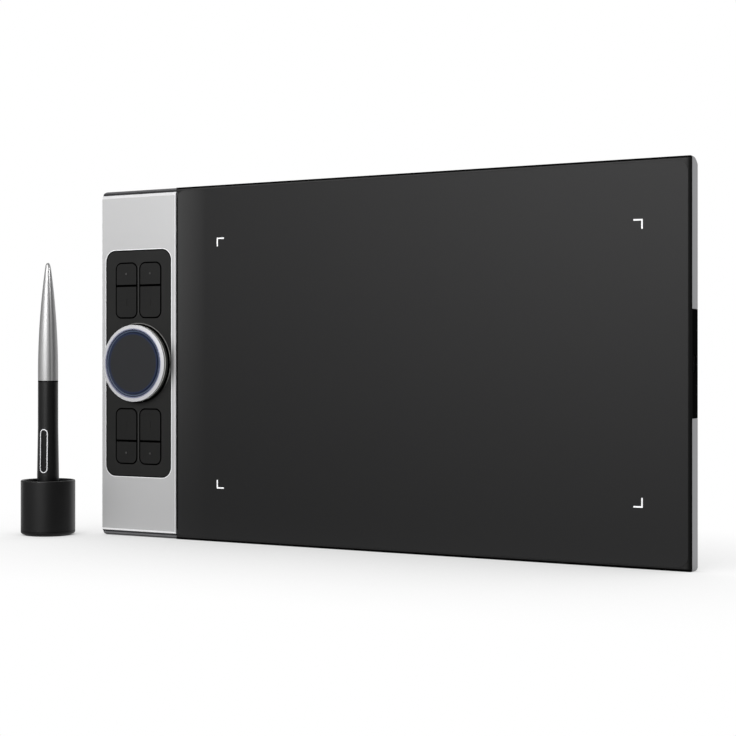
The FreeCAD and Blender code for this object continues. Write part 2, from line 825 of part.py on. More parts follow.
def usb_c_receptacle():
    owner = new_body()
    middle = f"({MAIN_FRONT} - port_thickness / 2)"
    mouth = f"{RIGHT} - port_inset"
    shell = sketch(owner, "side", f"{mouth} - port_length")
    rectangle(shell, f"{middle} - port_thickness / 2", f"{MIDDLE} - port_width / 2",
              f"{middle} + port_thickness / 2", f"{MIDDLE} + port_width / 2",
              "(port_thickness / 2.3)")
    pad(owner, shell, "port_length")
    inside = sketch(owner, "side", mouth)
    rectangle(inside, f"{middle} - port_thickness / 2 + port_shell",
              f"{MIDDLE} - port_width / 2 + port_shell",
              f"{middle} + port_thickness / 2 - port_shell",
              f"{MIDDLE} + port_width / 2 - port_shell", "(port_thickness / 2.3 - port_shell)")
    pocket(owner, inside, "port_length - port_shell")
    tongue = sketch(owner, "side", f"{mouth} - port_length + port_shell / 2")
    rectangle(tongue, f"{middle} - port_tongue / 2", f"{MIDDLE} - port_tongue_width / 2",
              f"{middle} + port_tongue / 2", f"{MIDDLE} + port_tongue_width / 2")
    pad(owner, tongue, "port_tongue_length + port_shell / 2")
    return finish("usb_c_receptacle", owner)


# Silver strip: a plate with a bright chamfer and flared long ends, and bosses behind it.
def strip_cover():
    owner = new_body()
    drawing = sketch(owner, "plan", SEAM)
    outline(drawing, [
        (f"{LEFT} + outline_radius", "0"),
        (STRIP_RIGHT, "0"),
        (STRIP_RIGHT, "tablet_height"),
        (f"{LEFT} + outline_radius", "tablet_height", "outline_radius", -1),
        (LEFT, "tablet_height - outline_radius"),
        (LEFT, "outline_radius", "outline_radius", -1),
    ])
    pad(owner, drawing, "split_depth")
    flare = sketch(owner, "side", f"{LEFT} + strip_width / 2")
    knee = "(strip_face_inset - strip_chamfer)"
    groove_floor = f"{FRONT} + strip_chamfer_depth + strip_groove_depth"
    for edge, inward in (("0", "+"), ("tablet_height", "-")):
        outline(flare, [
            (f"{FRONT} - 1", f"{edge} {inward} strip_face_inset"),
            (FRONT, f"{edge} {inward} strip_face_inset"),
            (f"{FRONT} + strip_chamfer_depth", f"{edge} {inward} {knee}"),
            (groove_floor, f"{edge} {inward} {knee}"),
            (groove_floor, f"{edge} {inward} ({knee} - strip_groove)"),
            (f"{FRONT} + strip_chamfer_depth", f"{edge} {inward} ({knee} - strip_groove)"),
            (SEAM, f"{edge} {inward} strip_foot_inset"),
            (SEAM, f"{edge} {inward} (-1)"),
            (f"{FRONT} - 1", f"{edge} {inward} (-1)"),
        ])
    pocket(owner, flare)
    side = sketch(owner, "level", MIDDLE)
    outline(side, [
        (f"{LEFT} - 1", f"{FRONT} - 1"),
        (f"{LEFT} + strip_side_chamfer", f"{FRONT} - 1"),
        (f"{LEFT} + strip_side_chamfer", FRONT),
        (f"{LEFT} + strip_side_foot", f"{FRONT} + strip_chamfer_depth"),
        (f"{LEFT}", SEAM),
        (f"{LEFT} - 1", SEAM),
    ])
    outline(side, [
        (f"{STRIP_RIGHT} + 1", f"{FRONT} - 1"),
        (f"{STRIP_RIGHT} + 1", f"{FRONT} + strip_seam_chamfer"),
        (STRIP_RIGHT, f"{FRONT} + strip_seam_chamfer"),
        (f"{STRIP_RIGHT} - strip_seam_chamfer", FRONT),
        (f"{STRIP_RIGHT} - strip_seam_chamfer", f"{FRONT} - 1"),
    ])
    pocket(owner, side)
    hollow_end = "(strip_face_inset + strip_wall)"

    def hollow(drawing):
        rectangle(drawing, f"{LEFT} + strip_wall + strip_side_foot", hollow_end,
                  f"{STRIP_RIGHT} - strip_wall", f"tablet_height - {hollow_end}")

    recess(owner, hollow, f"{FRONT} + strip_plate", SEAM)

    def window(drawing):
        rectangle(drawing, f"{PANEL_LEFT} - panel_gap", f"{PANEL_BOTTOM} - panel_gap",
                  f"{PANEL_RIGHT} + panel_gap", f"{PANEL_TOP} + panel_gap",
                  "(panel_corner + panel_gap)")

    recess(owner, window, f"{FRONT} - 1", SEAM)
    plate(owner, circles_at(STRIP_SCREWS, "cover_boss_radius"), f"{FRONT} + strip_plate", FLOOR)
    recess(owner, circles_at(STRIP_SCREWS, "cover_screw_radius"),
           f"{REAR} - cover_head_depth - cover_screw_reach", FLOOR)
    return finish("strip_cover", owner)


# Drawing area: its left edge rolls away from the strip along an arc.
ROLL_END = f"({FRAME_LEFT} + rolloff_length)"
ROLL_RADIUS = "((rolloff_length ^ 2 + rolloff_drop ^ 2) / (2 * rolloff_drop))"
RIM_FRONT = f"({EDGE_FRONT} - rim_edge)"


def roll_off(drawing, depth, outer):
    """The rolled surface at a depth below the front, closed off outer millimetres away."""
    outline(drawing, [
        (f"{FRAME_LEFT} - 1", f"{FRONT} + {outer}"),
        (ROLL_END, f"{FRONT} + {outer}"),
        (ROLL_END, f"{FRONT} + {depth}", f"({ROLL_RADIUS} - ({depth}))", 1),
        (FRAME_LEFT, f"{FRONT} + rolloff_drop + {depth}"),
        (f"{FRAME_LEFT} - 1", f"{FRONT} + rolloff_drop + {depth}"),
    ])


def front_frame():
    owner = new_body()
    section = sketch(owner, "level", "0")
    outline(section, [
        (FRAME_LEFT, f"{FRONT} + rolloff_drop", ROLL_RADIUS, -1),
        (ROLL_END, FRONT),
        (f"{RIGHT} - rim_bevel", FRONT),
        (RIGHT, RIM_FRONT),
        (RIGHT, SEAM),
        (FRAME_LEFT, SEAM),
    ])
    pad(owner, section, "tablet_height")
    bevel = sketch(owner, "side", "0")
    for edge, inward in (("0", "+"), ("tablet_height", "-")):
        outline(bevel, [
            (f"{FRONT} - 1", f"{edge} {inward} rim_bevel"),
            (FRONT, f"{edge} {inward} rim_bevel"),
            (RIM_FRONT, edge),
            (RIM_FRONT, f"{edge} {inward} (-1)"),
            (f"{FRONT} - 1", f"{edge} {inward} (-1)"),
        ])
    pocket(owner, bevel)

    def corners(drawing):
        outline(drawing, [
            (f"{RIGHT} - right_radius", "0", "right_radius", -1),
            (RIGHT, "right_radius"),
            (f"{RIGHT} + 1", "right_radius"),
            (f"{RIGHT} + 1", "-1"),
            (f"{RIGHT} - right_radius", "-1"),
        ])
        outline(drawing, [
            (RIGHT, "tablet_height - right_radius", "right_radius", -1),
            (f"{RIGHT} - right_radius", "tablet_height"),
            (f"{RIGHT} - right_radius", "tablet_height + 1"),
            (f"{RIGHT} + 1", "tablet_height + 1"),
            (f"{RIGHT} + 1", "tablet_height - right_radius"),
        ])

    recess(owner, corners, f"{FRONT} - 1", f"{SEAM} + 1")

    def rebate(drawing):
        inset = "(cover_wall + skirt_gap)"
        rectangle(drawing, f"{FRAME_LEFT} - 2 * outline_radius", "-1", f"{RIGHT} + 1",
                  "tablet_height + 1")
        rectangle(drawing, f"{FRAME_LEFT} - outline_radius", inset, f"{RIGHT} - {inset}",
                  f"tablet_height - {inset}", "outline_radius - cover_wall")

    recess(owner, rebate, EDGE_FRONT, f"{SEAM} + 1")
    rolled = sketch(owner, "level", "rim_width")
    roll_off(rolled, "sheet_thickness", "(-1)")
    pocket(owner, rolled, "tablet_height - 2 * rim_width", backwards=True)

    def bed(drawing):
        corner = "(sheet_corner + sheet_gap)"
        outline(drawing, [
            (ROLL_END, "rim_width"),
            (f"{RIGHT} - rim_width - {corner}", "rim_width", corner, -1),
            (f"{RIGHT} - rim_width", f"rim_width + {corner}"),
            (f"{RIGHT} - rim_width", f"tablet_height - rim_width - {corner}", corner, -1),
            (f"{RIGHT} - rim_width - {corner}", "tablet_height - rim_width"),
            (ROLL_END, "tablet_height - rim_width"),
        ])

    recess(owner, bed, f"{FRONT} - 1", f"{FRONT} + sheet_thickness")

    def skirt(drawing):
        inset = "(cover_wall + skirt_gap)"
        rectangle(drawing, f"{FRAME_LEFT} + {inset}", inset, f"{RIGHT} - {inset}",
                  f"tablet_height - {inset}", "outline_radius - cover_wall")
        inner = "(cover_wall + skirt_gap + skirt_wall)"
        rectangle(drawing, f"{FRAME_LEFT} + {inner}", inner, f"{RIGHT} - {inner}",
                  f"tablet_height - {inner}", "outline_radius / 5")

    plate(owner, skirt, SEAM, f"{SEAM} + skirt_depth")

    def port_gap(drawing):
        draw_port_bay(drawing, "2 * port_block_gap")

    recess(owner, port_gap, SEAM, f"{SEAM} + skirt_depth + 1")

    def tongue(drawing):
        inset = "(cover_wall + skirt_gap)"
        rectangle(drawing, f"{FRAME_LEFT} - tongue_reach", f"{inset} + skirt_wall",
                  f"{FRAME_LEFT} + 2 * skirt_wall", f"tablet_height - {inset} - skirt_wall")

    plate(owner, tongue, f"{SEAM} + sheet_gap", f"{SEAM} + tongue_thickness")
    plate(owner, lambda d: rectangle(d, FRAME_LEFT, "rim_width", f"{FRAME_LEFT} + skirt_wall",
                                     "tablet_height - rim_width"),
          SEAM, f"{SEAM} + tongue_thickness")
    plate(owner, circles_at(FRAME_SCREWS, "cover_boss_radius"), SEAM, FLOOR)
    recess(owner, circles_at(FRAME_SCREWS, "cover_screw_radius"),
           f"{REAR} - cover_head_depth - cover_screw_reach", FLOOR)
    return finish("front_frame", owner)


def work_surface():
    owner = new_body()
    inset = "(rim_width + sheet_gap)"
    deepest = f"{FRONT} + rolloff_drop + sheet_thickness"
    plate(owner, lambda d: rectangle(d, FRAME_LEFT, inset, f"{RIGHT} - {inset}",
                                     f"tablet_height - {inset}", "sheet_corner"),
          FRONT, deepest)
    front = sketch(owner, "level", MIDDLE)
    roll_off(front, "0", "(-1)")
    pocket(owner, front)
    behind = sketch(owner, "level", MIDDLE)
    outline(behind, [
        (f"{FRAME_LEFT} - 1", deepest),
        (FRAME_LEFT, deepest, f"({ROLL_RADIUS} - sheet_thickness)", -1),
        (ROLL_END, f"{FRONT} + sheet_thickness"),
        (f"{RIGHT} + 1", f"{FRONT} + sheet_thickness"),
        (f"{RIGHT} + 1", f"{deepest} + 1"),
        (f"{FRAME_LEFT} - 1", f"{deepest} + 1"),
    ])
    pocket(owner, behind)
    return finish("work_surface", owner)


SENSOR_RIGHT = f"({RIGHT} - sensor_from_right)"


def sensor_stack():
    def area(inset):
        def draw(drawing):
            rectangle(drawing, f"{STRIP_RIGHT} + sensor_from_strip + {inset}",
                      f"sensor_side + {inset}", f"{SENSOR_RIGHT} - {inset}",
                      f"tablet_height - sensor_side - {inset}", "outline_radius")
        return draw

    board = new_body()
    plate(board, area("0"), SEAM, f"{SEAM} + sensor_thickness")
    finish("sensor_board", board)
    shield = new_body()
    shield_front = f"{SEAM} + sensor_thickness"
    plate(shield, area("shield_inset"), shield_front, f"{shield_front} + shield_thickness")
    finish("shield_plate", shield)


# Control panel, with its dial hole and the openings for four pairs of keys.
KEY_WIDTH = f"(({PANEL_WIDTH} - key_web) / 2 - key_side)"
KEY_LEFTS = (f"({PANEL_LEFT} + key_side)", f"({DIAL_X} + key_web / 2)")


def key_columns():
    return [f"({left} + {KEY_WIDTH} / 2)" for left in KEY_LEFTS]


def key_groups():
    """The bottom and top of the lower and of the upper pair of keys."""
    dial_room = f"({DIAL_RADIUS} + key_to_dial)"
    return ((f"({PANEL_BOTTOM} + key_group_end)", f"({MIDDLE} - {dial_room})"),
            (f"({MIDDLE} + {dial_room})", f"({PANEL_TOP} - key_group_end)"))


def control_panel():
    owner = new_body()

    def face(grow):
        def draw(drawing):
            rectangle(drawing, f"{PANEL_LEFT} - {grow}", f"{PANEL_BOTTOM} - {grow}",
                      f"{PANEL_RIGHT} + {grow}", f"{PANEL_TOP} + {grow}",
                      f"(panel_corner + {grow})")
        return draw

    plate(owner, face("0"), PANEL_FRONT, SEAM)
    plate(owner, face("panel_flange"), f"{FRONT} + strip_plate", SEAM)
    recess(owner, circles_at([(DIAL_X, MIDDLE)], f"{DIAL_RADIUS} + dial_recess_gap"),
           f"{FRONT} - 1", f"{PANEL_FRONT} + dial_recess_depth")
    recess(owner, circles_at([(DIAL_X, MIDDLE)], f"{NECK_RADIUS} + rotor_gap"),
           f"{FRONT} - 1", SEAM)

    def openings(grow, corner):
        def draw(drawing):
            for x in key_columns():
                for bottom, top in key_groups():
                    rectangle(drawing, f"{x} - {KEY_WIDTH} / 2 - {grow}", f"{bottom} - {grow}",
                              f"{x} + {KEY_WIDTH} / 2 + {grow}", f"{top} + {grow}", corner)
        return draw

    recess(owner, openings("0", "key_corner"), f"{FRONT} - 1", SEAM)

    def rooms(drawing):
        first, second = key_columns()
        for bottom, top in key_groups():
            rectangle(drawing, f"{first} - {KEY_WIDTH} / 2 - panel_key_room",
                      f"{bottom} - panel_key_room",
                      f"{second} + {KEY_WIDTH} / 2 + panel_key_room", f"{top} + panel_key_room",
                      "panel_key_room")

    recess(owner, rooms, f"{PANEL_FRONT} + panel_key_wall", SEAM)
    plate(owner, circles_at(PANEL_SCREWS, "panel_boss_radius"), SEAM, CONTROL_FRONT)
    recess(owner, circles_at(PANEL_SCREWS, "board_screw_radius"), SEAM, CONTROL_FRONT)
    return finish("control_panel", owner)


# Keys. Two share an opening: a short one at the panel's end and a long one by the dial.
KEY_FRONT = f"({PANEL_FRONT} - key_proud)"
KEY_BACK = f"({PANEL_FRONT} + panel_key_wall + key_play)"
KEY_FLANGE_BACK = f"({KEY_BACK} + key_flange_height)"
SWITCH_TOP = f"({CONTROL_FRONT} - switch_height - switch_button_height)"
STEM_END = f"({SWITCH_TOP} - key_travel - key_play)"
PAD_FRONT = f"({KEY_FLANGE_BACK} + key_travel + key_play)"


def key_places():
    """For each key: node, x, bottom, top, whether it is short, and which end is outward."""
    places = []
    lower, upper = key_groups()
    rows = (
        (f"({upper[1]} - key_short)", upper[1], True, 1),
        (upper[0], f"({upper[1]} - key_short - key_divider)", False, -1),
        (f"({lower[0]} + key_short + key_divider)", lower[1], False, 1),
        (lower[0], f"({lower[0]} + key_short)", True, -1),
    )
    for bottom, top, short, outward in rows:
        for x in key_columns():
            places.append((f"key_{len(places) + 1}", x, bottom, top, short, outward))
    return places


def key(node, x, bottom, top, short, outward):
    owner = new_body()
    low_gap = "key_gap" if outward < 0 else "0"
    high_gap = "key_gap" if outward > 0 else "0"
    z_low = f"({bottom} + {low_gap})"
    z_high = f"({top} - {high_gap})"
    left = f"{x} - {KEY_WIDTH} / 2 + key_gap"
    right = f"{x} + {KEY_WIDTH} / 2 - key_gap"
    plate(owner, lambda d: rectangle(d, left, z_low, right, z_high), KEY_FRONT, KEY_BACK)
    outer = value(z_high if outward > 0 else z_low)

    def outer_corner(edge):
        return along(edge, 1) and abs(edge.CenterOfMass.z - outer) < 0.01

    def inner_corner(edge):
        return along(edge, 1) and abs(edge.CenterOfMass.z - outer) > value("key_corner")

    def front_rim(edge):
        return edge.BoundBox.YMax < value(KEY_FRONT) + 0.01

    fillet(owner, "key_corner - key_gap", outer_corner)
    fillet(owner, "key_inner_corner", inner_corner)
    fillet(owner, "key_edge", front_rim)
    flange_low = f"{bottom} - key_flange" if outward < 0 else z_low
    flange_high = f"{top} + key_flange" if outward > 0 else z_high
    outer_side = f"{x} - {KEY_WIDTH} / 2 - key_flange", f"{x} + {KEY_WIDTH} / 2 + key_flange"
    plate(owner, lambda d: rectangle(d, outer_side[0], flange_low, outer_side[1], flange_high),
          KEY_BACK, KEY_FLANGE_BACK)
    middle = f"({bottom} + {top}) / 2"
    plate(owner, circles_at([(x, middle)], "key_stem_radius"), KEY_FLANGE_BACK, STEM_END)
    if short:
        mark = circles_at([(x, middle)], "key_dot_radius")
        height = "key_dot_height"
    else:
        def mark(drawing):
            rectangle(drawing, f"{x} - key_bar_width / 2", f"{middle} - key_bar_height / 2",
                      f"{x} + key_bar_width / 2", f"{middle} + key_bar_height / 2",
                      "(key_bar_width / 2.2)")
        height = "key_bar_proud"
    plate(owner, mark, f"{KEY_FRONT} - {height}", KEY_FRONT)
    return finish(node, owner)


def control_board():
    owner = new_body()

    def area(drawing):
        rectangle(drawing, f"{PANEL_LEFT} + control_board_inset",
                  f"{PANEL_BOTTOM} + control_board_inset",
                  f"{PANEL_RIGHT} - control_board_inset",
                  f"{PANEL_TOP} - control_board_inset", "key_corner")

    plate(owner, area, CONTROL_FRONT, CONTROL_REAR)
    recess(owner, circles_at(PANEL_SCREWS, "board_screw_radius + screw_gap"), CONTROL_FRONT,
           CONTROL_REAR)
    recess(owner, circles_at([(DIAL_X, MIDDLE)], "hub_neck_radius + hub_neck_gap"),
           CONTROL_FRONT, CONTROL_REAR)
    finish("control_board", owner)
    screws = []
    for x, z in PANEL_SCREWS:
        shank = rod("board_screw_radius", "y", SEAM, f"{CONTROL_REAR} + board_head_height / 2",
                    x, z)
        head = rod("board_head_radius", "y", CONTROL_REAR,
                   f"{CONTROL_REAR} + board_head_height", x, z)
        screws.append(fuse([shank, head]))
    finish("control_board_screws", group(screws))
    switches = []
    half = "switch_side / 2"
    for _, x, bottom, top, _, _ in key_places():
        z = f"({bottom} + {top}) / 2"
        case = box(f"{x} - {half}", f"{x} + {half}", f"{CONTROL_FRONT} - switch_height",
                   CONTROL_FRONT, f"{z} - {half}", f"{z} + {half}")
        button = rod("switch_button_radius", "y", SWITCH_TOP,
                     f"{CONTROL_FRONT} - switch_height / 2", x, z)
        switches.append(fuse([case, button]))
    finish("key_switches", group(switches))


def key_pad(node, bottom, top):
    """A silicone mat on the control board that stops the keys, with a window per switch."""
    owner = new_body()
    first, second = key_columns()

    def area(drawing):
        rectangle(drawing, f"{first} - {KEY_WIDTH} / 2 - pad_inset", f"{bottom} - pad_inset",
                  f"{second} + {KEY_WIDTH} / 2 + pad_inset", f"{top} + pad_inset", "key_corner")

    def windows(drawing):
        for _, x, low, high, _, _ in key_places():
            if value(bottom) < value(low) + 1 and value(high) < value(top) + 1:
                z = f"({low} + {high}) / 2"
                rectangle(drawing, f"{x} - pad_window / 2", f"{z} - pad_window / 2",
                          f"{x} + pad_window / 2", f"{z} + pad_window / 2")

    plate(owner, area, PAD_FRONT, CONTROL_FRONT)
    recess(owner, windows, PAD_FRONT, CONTROL_FRONT)
    return finish(node, owner)


# Dial. Its pieces are turned about the dial's axis, which runs along Y. Heights are counted
# from the panel's front, towards the user, and become y by up().
def up(height):
    return f"({PANEL_FRONT} - ({height}))"


RIM_RADIUS = f"({DIAL_RADIUS} - dial_bevel)"
BORE_RADIUS = f"({RIM_RADIUS} - dial_lip)"
HUB_RADIUS = f"({BORE_RADIUS} - light_width)"
NECK_INSIDE = f"({NECK_RADIUS} - rotor_neck_wall)"
DETENT_SEAT = f"({NECK_INSIDE} - detent_sink)"
DETENT_RING = f"({NECK_INSIDE} - detent_ring_clearance)"
RING_TOP = "dial_lift + dial_wall_height + dial_bevel_height"
SEAT_TOP = "dial_lift"
SEAT_BOTTOM = "dial_lift - rotor_seat_height"
WEB_TOP = f"{SEAT_BOTTOM} + rotor_web"
HUB_BOTTOM = f"{WEB_TOP} + rotor_gap"
HUB_STEP = f"{HUB_BOTTOM} + hub_flange_height"
HUB_TOP = f"{HUB_STEP} + hub_plate_height"
TOUCH_BOARD_TOP = f"{HUB_TOP} + touch_board_height"
DISC_TOP = f"{TOUCH_BOARD_TOP} + touch_disc_height"
ROTOR_BACK = f"{SEAM} + rotor_flange_gap + rotor_flange_height"
TOUCH_LEAD_Y = f"({CONTROL_REAR} + hub_nut_height + 2 * hub_neck_end)"
TOUCH_LEAD_END = f"({MIDDLE} + hub_nut_width / 2 + 2 * connector_side)"


def at_dial(owner):
    place(owner, DIAL_X, "0", MIDDLE)
    return owner


def dial_ring():
    owner = at_dial(new_body())
    shoulder = "dial_lift + dial_wall_height"
    turned(owner, "level", [
        (BORE_RADIUS, up("dial_lift")),
        (BORE_RADIUS, up(f"{RING_TOP} - dial_inner_chamfer")),
        (f"{RIM_RADIUS} - edge_break / 3", up(RING_TOP)),
        (RIM_RADIUS, up(RING_TOP)),
        (DIAL_RADIUS, up(shoulder)),
        (DIAL_RADIUS, up("dial_lift")),
    ])
    return finish("dial_ring", owner)


def dial_rotor():
    owner = at_dial(new_body())
    web = f"{BORE_RADIUS} - rotor_gap"
    seat = f"{DIAL_RADIUS} - rotor_seat_inset"
    flange = f"{NECK_RADIUS} + rotor_flange_reach"
    bore = "hub_post_radius + bearing_gap"
    flange_front = f"{SEAM} + rotor_flange_gap"
    turned(owner, "level", [
        (bore, up(WEB_TOP)),
        (web, up(WEB_TOP)),
        (web, up(SEAT_TOP)),
        (seat, up(SEAT_TOP)),
        (seat, up(SEAT_BOTTOM)),
        (NECK_RADIUS, up(SEAT_BOTTOM)),
        (NECK_RADIUS, flange_front),
        (flange, flange_front),
        (flange, ROTOR_BACK),
        (NECK_INSIDE, ROTOR_BACK),
        (NECK_INSIDE, up(SEAT_BOTTOM)),
        ("rotor_collar_radius", up(SEAT_BOTTOM)),
        ("rotor_collar_radius", f"{up(SEAT_BOTTOM)} + rotor_collar_length"),
        (bore, f"{up(SEAT_BOTTOM)} + rotor_collar_length"),
    ])
    drawing = sketch(owner, "plan", f"{ROTOR_BACK} - detent_depth")
    circle(drawing, "detent_radius", "0", DETENT_SEAT)
    scallop = pocket(owner, drawing, "detent_depth")
    doc.recompute()
    ring_pattern(owner, scallop, "Y_Axis", DETENTS)
    return finish("dial_rotor", owner)


def magnet_ring():
    owner = at_dial(new_body())
    front = up(SEAT_BOTTOM)
    outer = f"({NECK_INSIDE} - magnet_clearance)"
    turned(owner, "level", [
        (f"{outer} - magnet_wall", front),
        (outer, front),
        (outer, f"{front} + magnet_height"),
        (f"{outer} - magnet_wall", f"{front} + magnet_height"),
    ])
    return finish("magnet_ring", owner)


def detent_spring():
    """A flat ring on two feet, with a nub on each side that drops into the rotor's scallops."""
    owner = at_dial(new_body())
    rear = f"{ROTOR_BACK} - detent_ring_gap"
    front = f"{rear} - detent_ring_height"
    turned(owner, "level", [
        (f"{DETENT_RING} - detent_ring_wall", front),
        (DETENT_RING, front),
        (DETENT_RING, rear),
        (f"{DETENT_RING} - detent_ring_wall", rear),
    ])

    def nubs(drawing):
        circle(drawing, "detent_nub_radius", "0", DETENT_RING)
        circle(drawing, "detent_nub_radius", "0", f"-{DETENT_RING}")

    plate(owner, nubs, front, rear)

    def feet(drawing):
        for side in ("", "-"):
            outer = f"{side}({DETENT_RING} - detent_ring_wall / 4)"
            inner = f"{side}({DETENT_RING} - 2 * detent_ring_wall)"
            left, right = (inner, outer) if side == "" else (outer, inner)
            rectangle(drawing, left, "-detent_foot_width / 2", right, "detent_foot_width / 2")

    plate(owner, feet, front, CONTROL_FRONT)
    return finish("detent_spring", owner)


def dial_hub():
    owner = at_dial(new_body())
    flange = f"{BORE_RADIUS} - light_gap"
    turned(owner, "level", [
        ("hub_bore_radius", up(HUB_TOP)),
        (HUB_RADIUS, up(HUB_TOP)),
        (HUB_RADIUS, up(HUB_STEP)),
        (flange, up(HUB_STEP)),
        (flange, up(HUB_BOTTOM)),
        ("hub_post_radius", up(HUB_BOTTOM)),
        ("hub_post_radius", CONTROL_FRONT),
        ("hub_neck_radius", CONTROL_FRONT),
        ("hub_neck_radius", f"{CONTROL_REAR} + hub_nut_height + hub_neck_end"),
        ("hub_bore_radius", f"{CONTROL_REAR} + hub_nut_height + hub_neck_end"),
    ])
    finish("dial_hub", owner)
    nut = at_dial(new_body())
    drawing = sketch(nut, "plan", f"{CONTROL_REAR} + hub_nut_height")
    corners = [(f"hub_nut_width / sqrt(3) * {round(math.cos(math.radians(turn)), 6)}",
                f"hub_nut_width / sqrt(3) * {round(math.sin(math.radians(turn)), 6)}")
               for turn in range(0, 360, 60)]
    outline(drawing, corners)
    circle(drawing, "hub_neck_radius + hub_neck_gap")
    pad(nut, drawing, "hub_nut_height")
    finish("hub_nut", nut)


def light_ring():
    owner = at_dial(new_body())
    inner = f"{HUB_RADIUS} + light_gap / 2"
    outer = f"{BORE_RADIUS} - light_gap"
    top = f"{HUB_STEP} + light_height"
    turned(owner, "level", [
        (inner, up(HUB_STEP)),
        (inner, up(f"{top} - light_slope")),
        (f"{outer} - light_gap", up(top)),
        (outer, up(top)),
        (outer, up(HUB_STEP)),
    ])
    return finish("light_ring", owner)


def touch_pieces():
    board = at_dial(new_body())
    plate(board, circles_at([("0", "0")], f"{HUB_RADIUS} - touch_board_inset"),
          up(TOUCH_BOARD_TOP), up(HUB_TOP))
    finish("touch_board", board)
    disc = at_dial(new_body())
    plate(disc, circles_at([("0", "0")], HUB_RADIUS), up(DISC_TOP), up(TOUCH_BOARD_TOP))

    def front_edge(edge):
        return edge.BoundBox.YMax < value(up(DISC_TOP)) + 0.01

    fillet(disc, "touch_disc_edge", front_edge)
    finish("touch_disc", disc)
    lead = new_body()
    drawing = sketch(lead, "side", f"{DIAL_X} - hub_bore_radius / 2")
    half = "ribbon_thickness / 2"
    outline(drawing, [
        (up(HUB_TOP), f"{MIDDLE} - {half}"),
        (f"{TOUCH_LEAD_Y} + ribbon_thickness", f"{MIDDLE} - {half}"),
        (f"{TOUCH_LEAD_Y} + ribbon_thickness", f"{TOUCH_LEAD_END} + connector_side"),
        (TOUCH_LEAD_Y, f"{TOUCH_LEAD_END} + connector_side"),
        (TOUCH_LEAD_Y, f"{MIDDLE} + {half}"),
        (up(HUB_TOP), f"{MIDDLE} + {half}"),
    ])
    pad(lead, drawing, "hub_bore_radius")
    finish("touch_ribbon", lead)


# Main board with its parts and the flat cables.
SCREW_ROOM = "(main_boss_inset + board_head_radius + plug_to_screw)"
RIBBON_HIGH = f"({MAIN_BOARD_TOP} - {SCREW_ROOM} - connector_side)"
RIBBON_LOW = f"({RIBBON_HIGH} - ribbon_width)"
CONTROL_PLUG = f"({PANEL_RIGHT} - control_board_inset - 2 * connector_length)"


def connector(x_from, y_from, y_to, z_from, z_to):
    return box(x_from, f"{x_from} + connector_length", y_from, y_to,
               f"{z_from} - connector_side", f"{z_to} + connector_side")


def main_board():
    owner = new_body()
    plate(owner, lambda d: rectangle(d, MAIN_BOARD_LEFT, MAIN_BOARD_BOTTOM, MAIN_BOARD_RIGHT,
                                     MAIN_BOARD_TOP), MAIN_FRONT, MAIN_REAR)
    recess(owner, circles_at(MAIN_SCREWS, "board_screw_radius + screw_gap"), MAIN_FRONT,
           MAIN_REAR)
    finish("main_board", owner)
    screws = []
    for x, z in MAIN_SCREWS:
        shank = rod("board_screw_radius", "y", f"{MAIN_FRONT} - board_head_height / 2", FLOOR,
                    x, z)
        head = rod("board_head_radius", "y", f"{MAIN_FRONT} - board_head_height", MAIN_FRONT,
                   x, z)
        screws.append(fuse([shank, head]))
    finish("main_board_screws", group(screws))
    ribbon_y = f"({MAIN_FRONT} - connector_height)"
    processor = box(f"{MAIN_BOARD_LEFT} + 4 * connector_length",
                    f"{MAIN_BOARD_LEFT} + 6 * connector_length",
                    ribbon_y, MAIN_FRONT, f"{MIDDLE} - connector_length",
                    f"{MIDDLE} + connector_length")
    power = box(f"{MAIN_BOARD_LEFT} + 2 * connector_length",
                f"{MAIN_BOARD_LEFT} + 3 * connector_length", ribbon_y, MAIN_FRONT,
                f"{MIDDLE} - 2 * connector_length", f"{MIDDLE} - connector_length")
    plug = connector(MAIN_BOARD_LEFT, ribbon_y, MAIN_FRONT, RIBBON_LOW, RIBBON_HIGH)
    sensor_plug = connector(f"{SENSOR_RIGHT} + 2 * connector_side", ribbon_y, MAIN_FRONT,
                            SENSOR_LEAD_LOW, f"{SENSOR_LEAD_LOW} + sensor_lead_width")
    finish("main_board_parts", group([processor, power, plug, sensor_plug]))
    control_plug = connector(CONTROL_PLUG, CONTROL_REAR, f"{CONTROL_REAR} + connector_height",
                             RIBBON_LOW, RIBBON_HIGH)
    touch_plug = connector(f"{DIAL_X} - connector_length / 2", CONTROL_REAR, TOUCH_LEAD_Y,
                           TOUCH_LEAD_END, f"{TOUCH_LEAD_END} + connector_side")
    finish("control_board_plugs", group([control_plug, touch_plug]))


SENSOR_LEAD_LOW = f"({MAIN_BOARD_BOTTOM} + sensor_lead_above_bottom)"


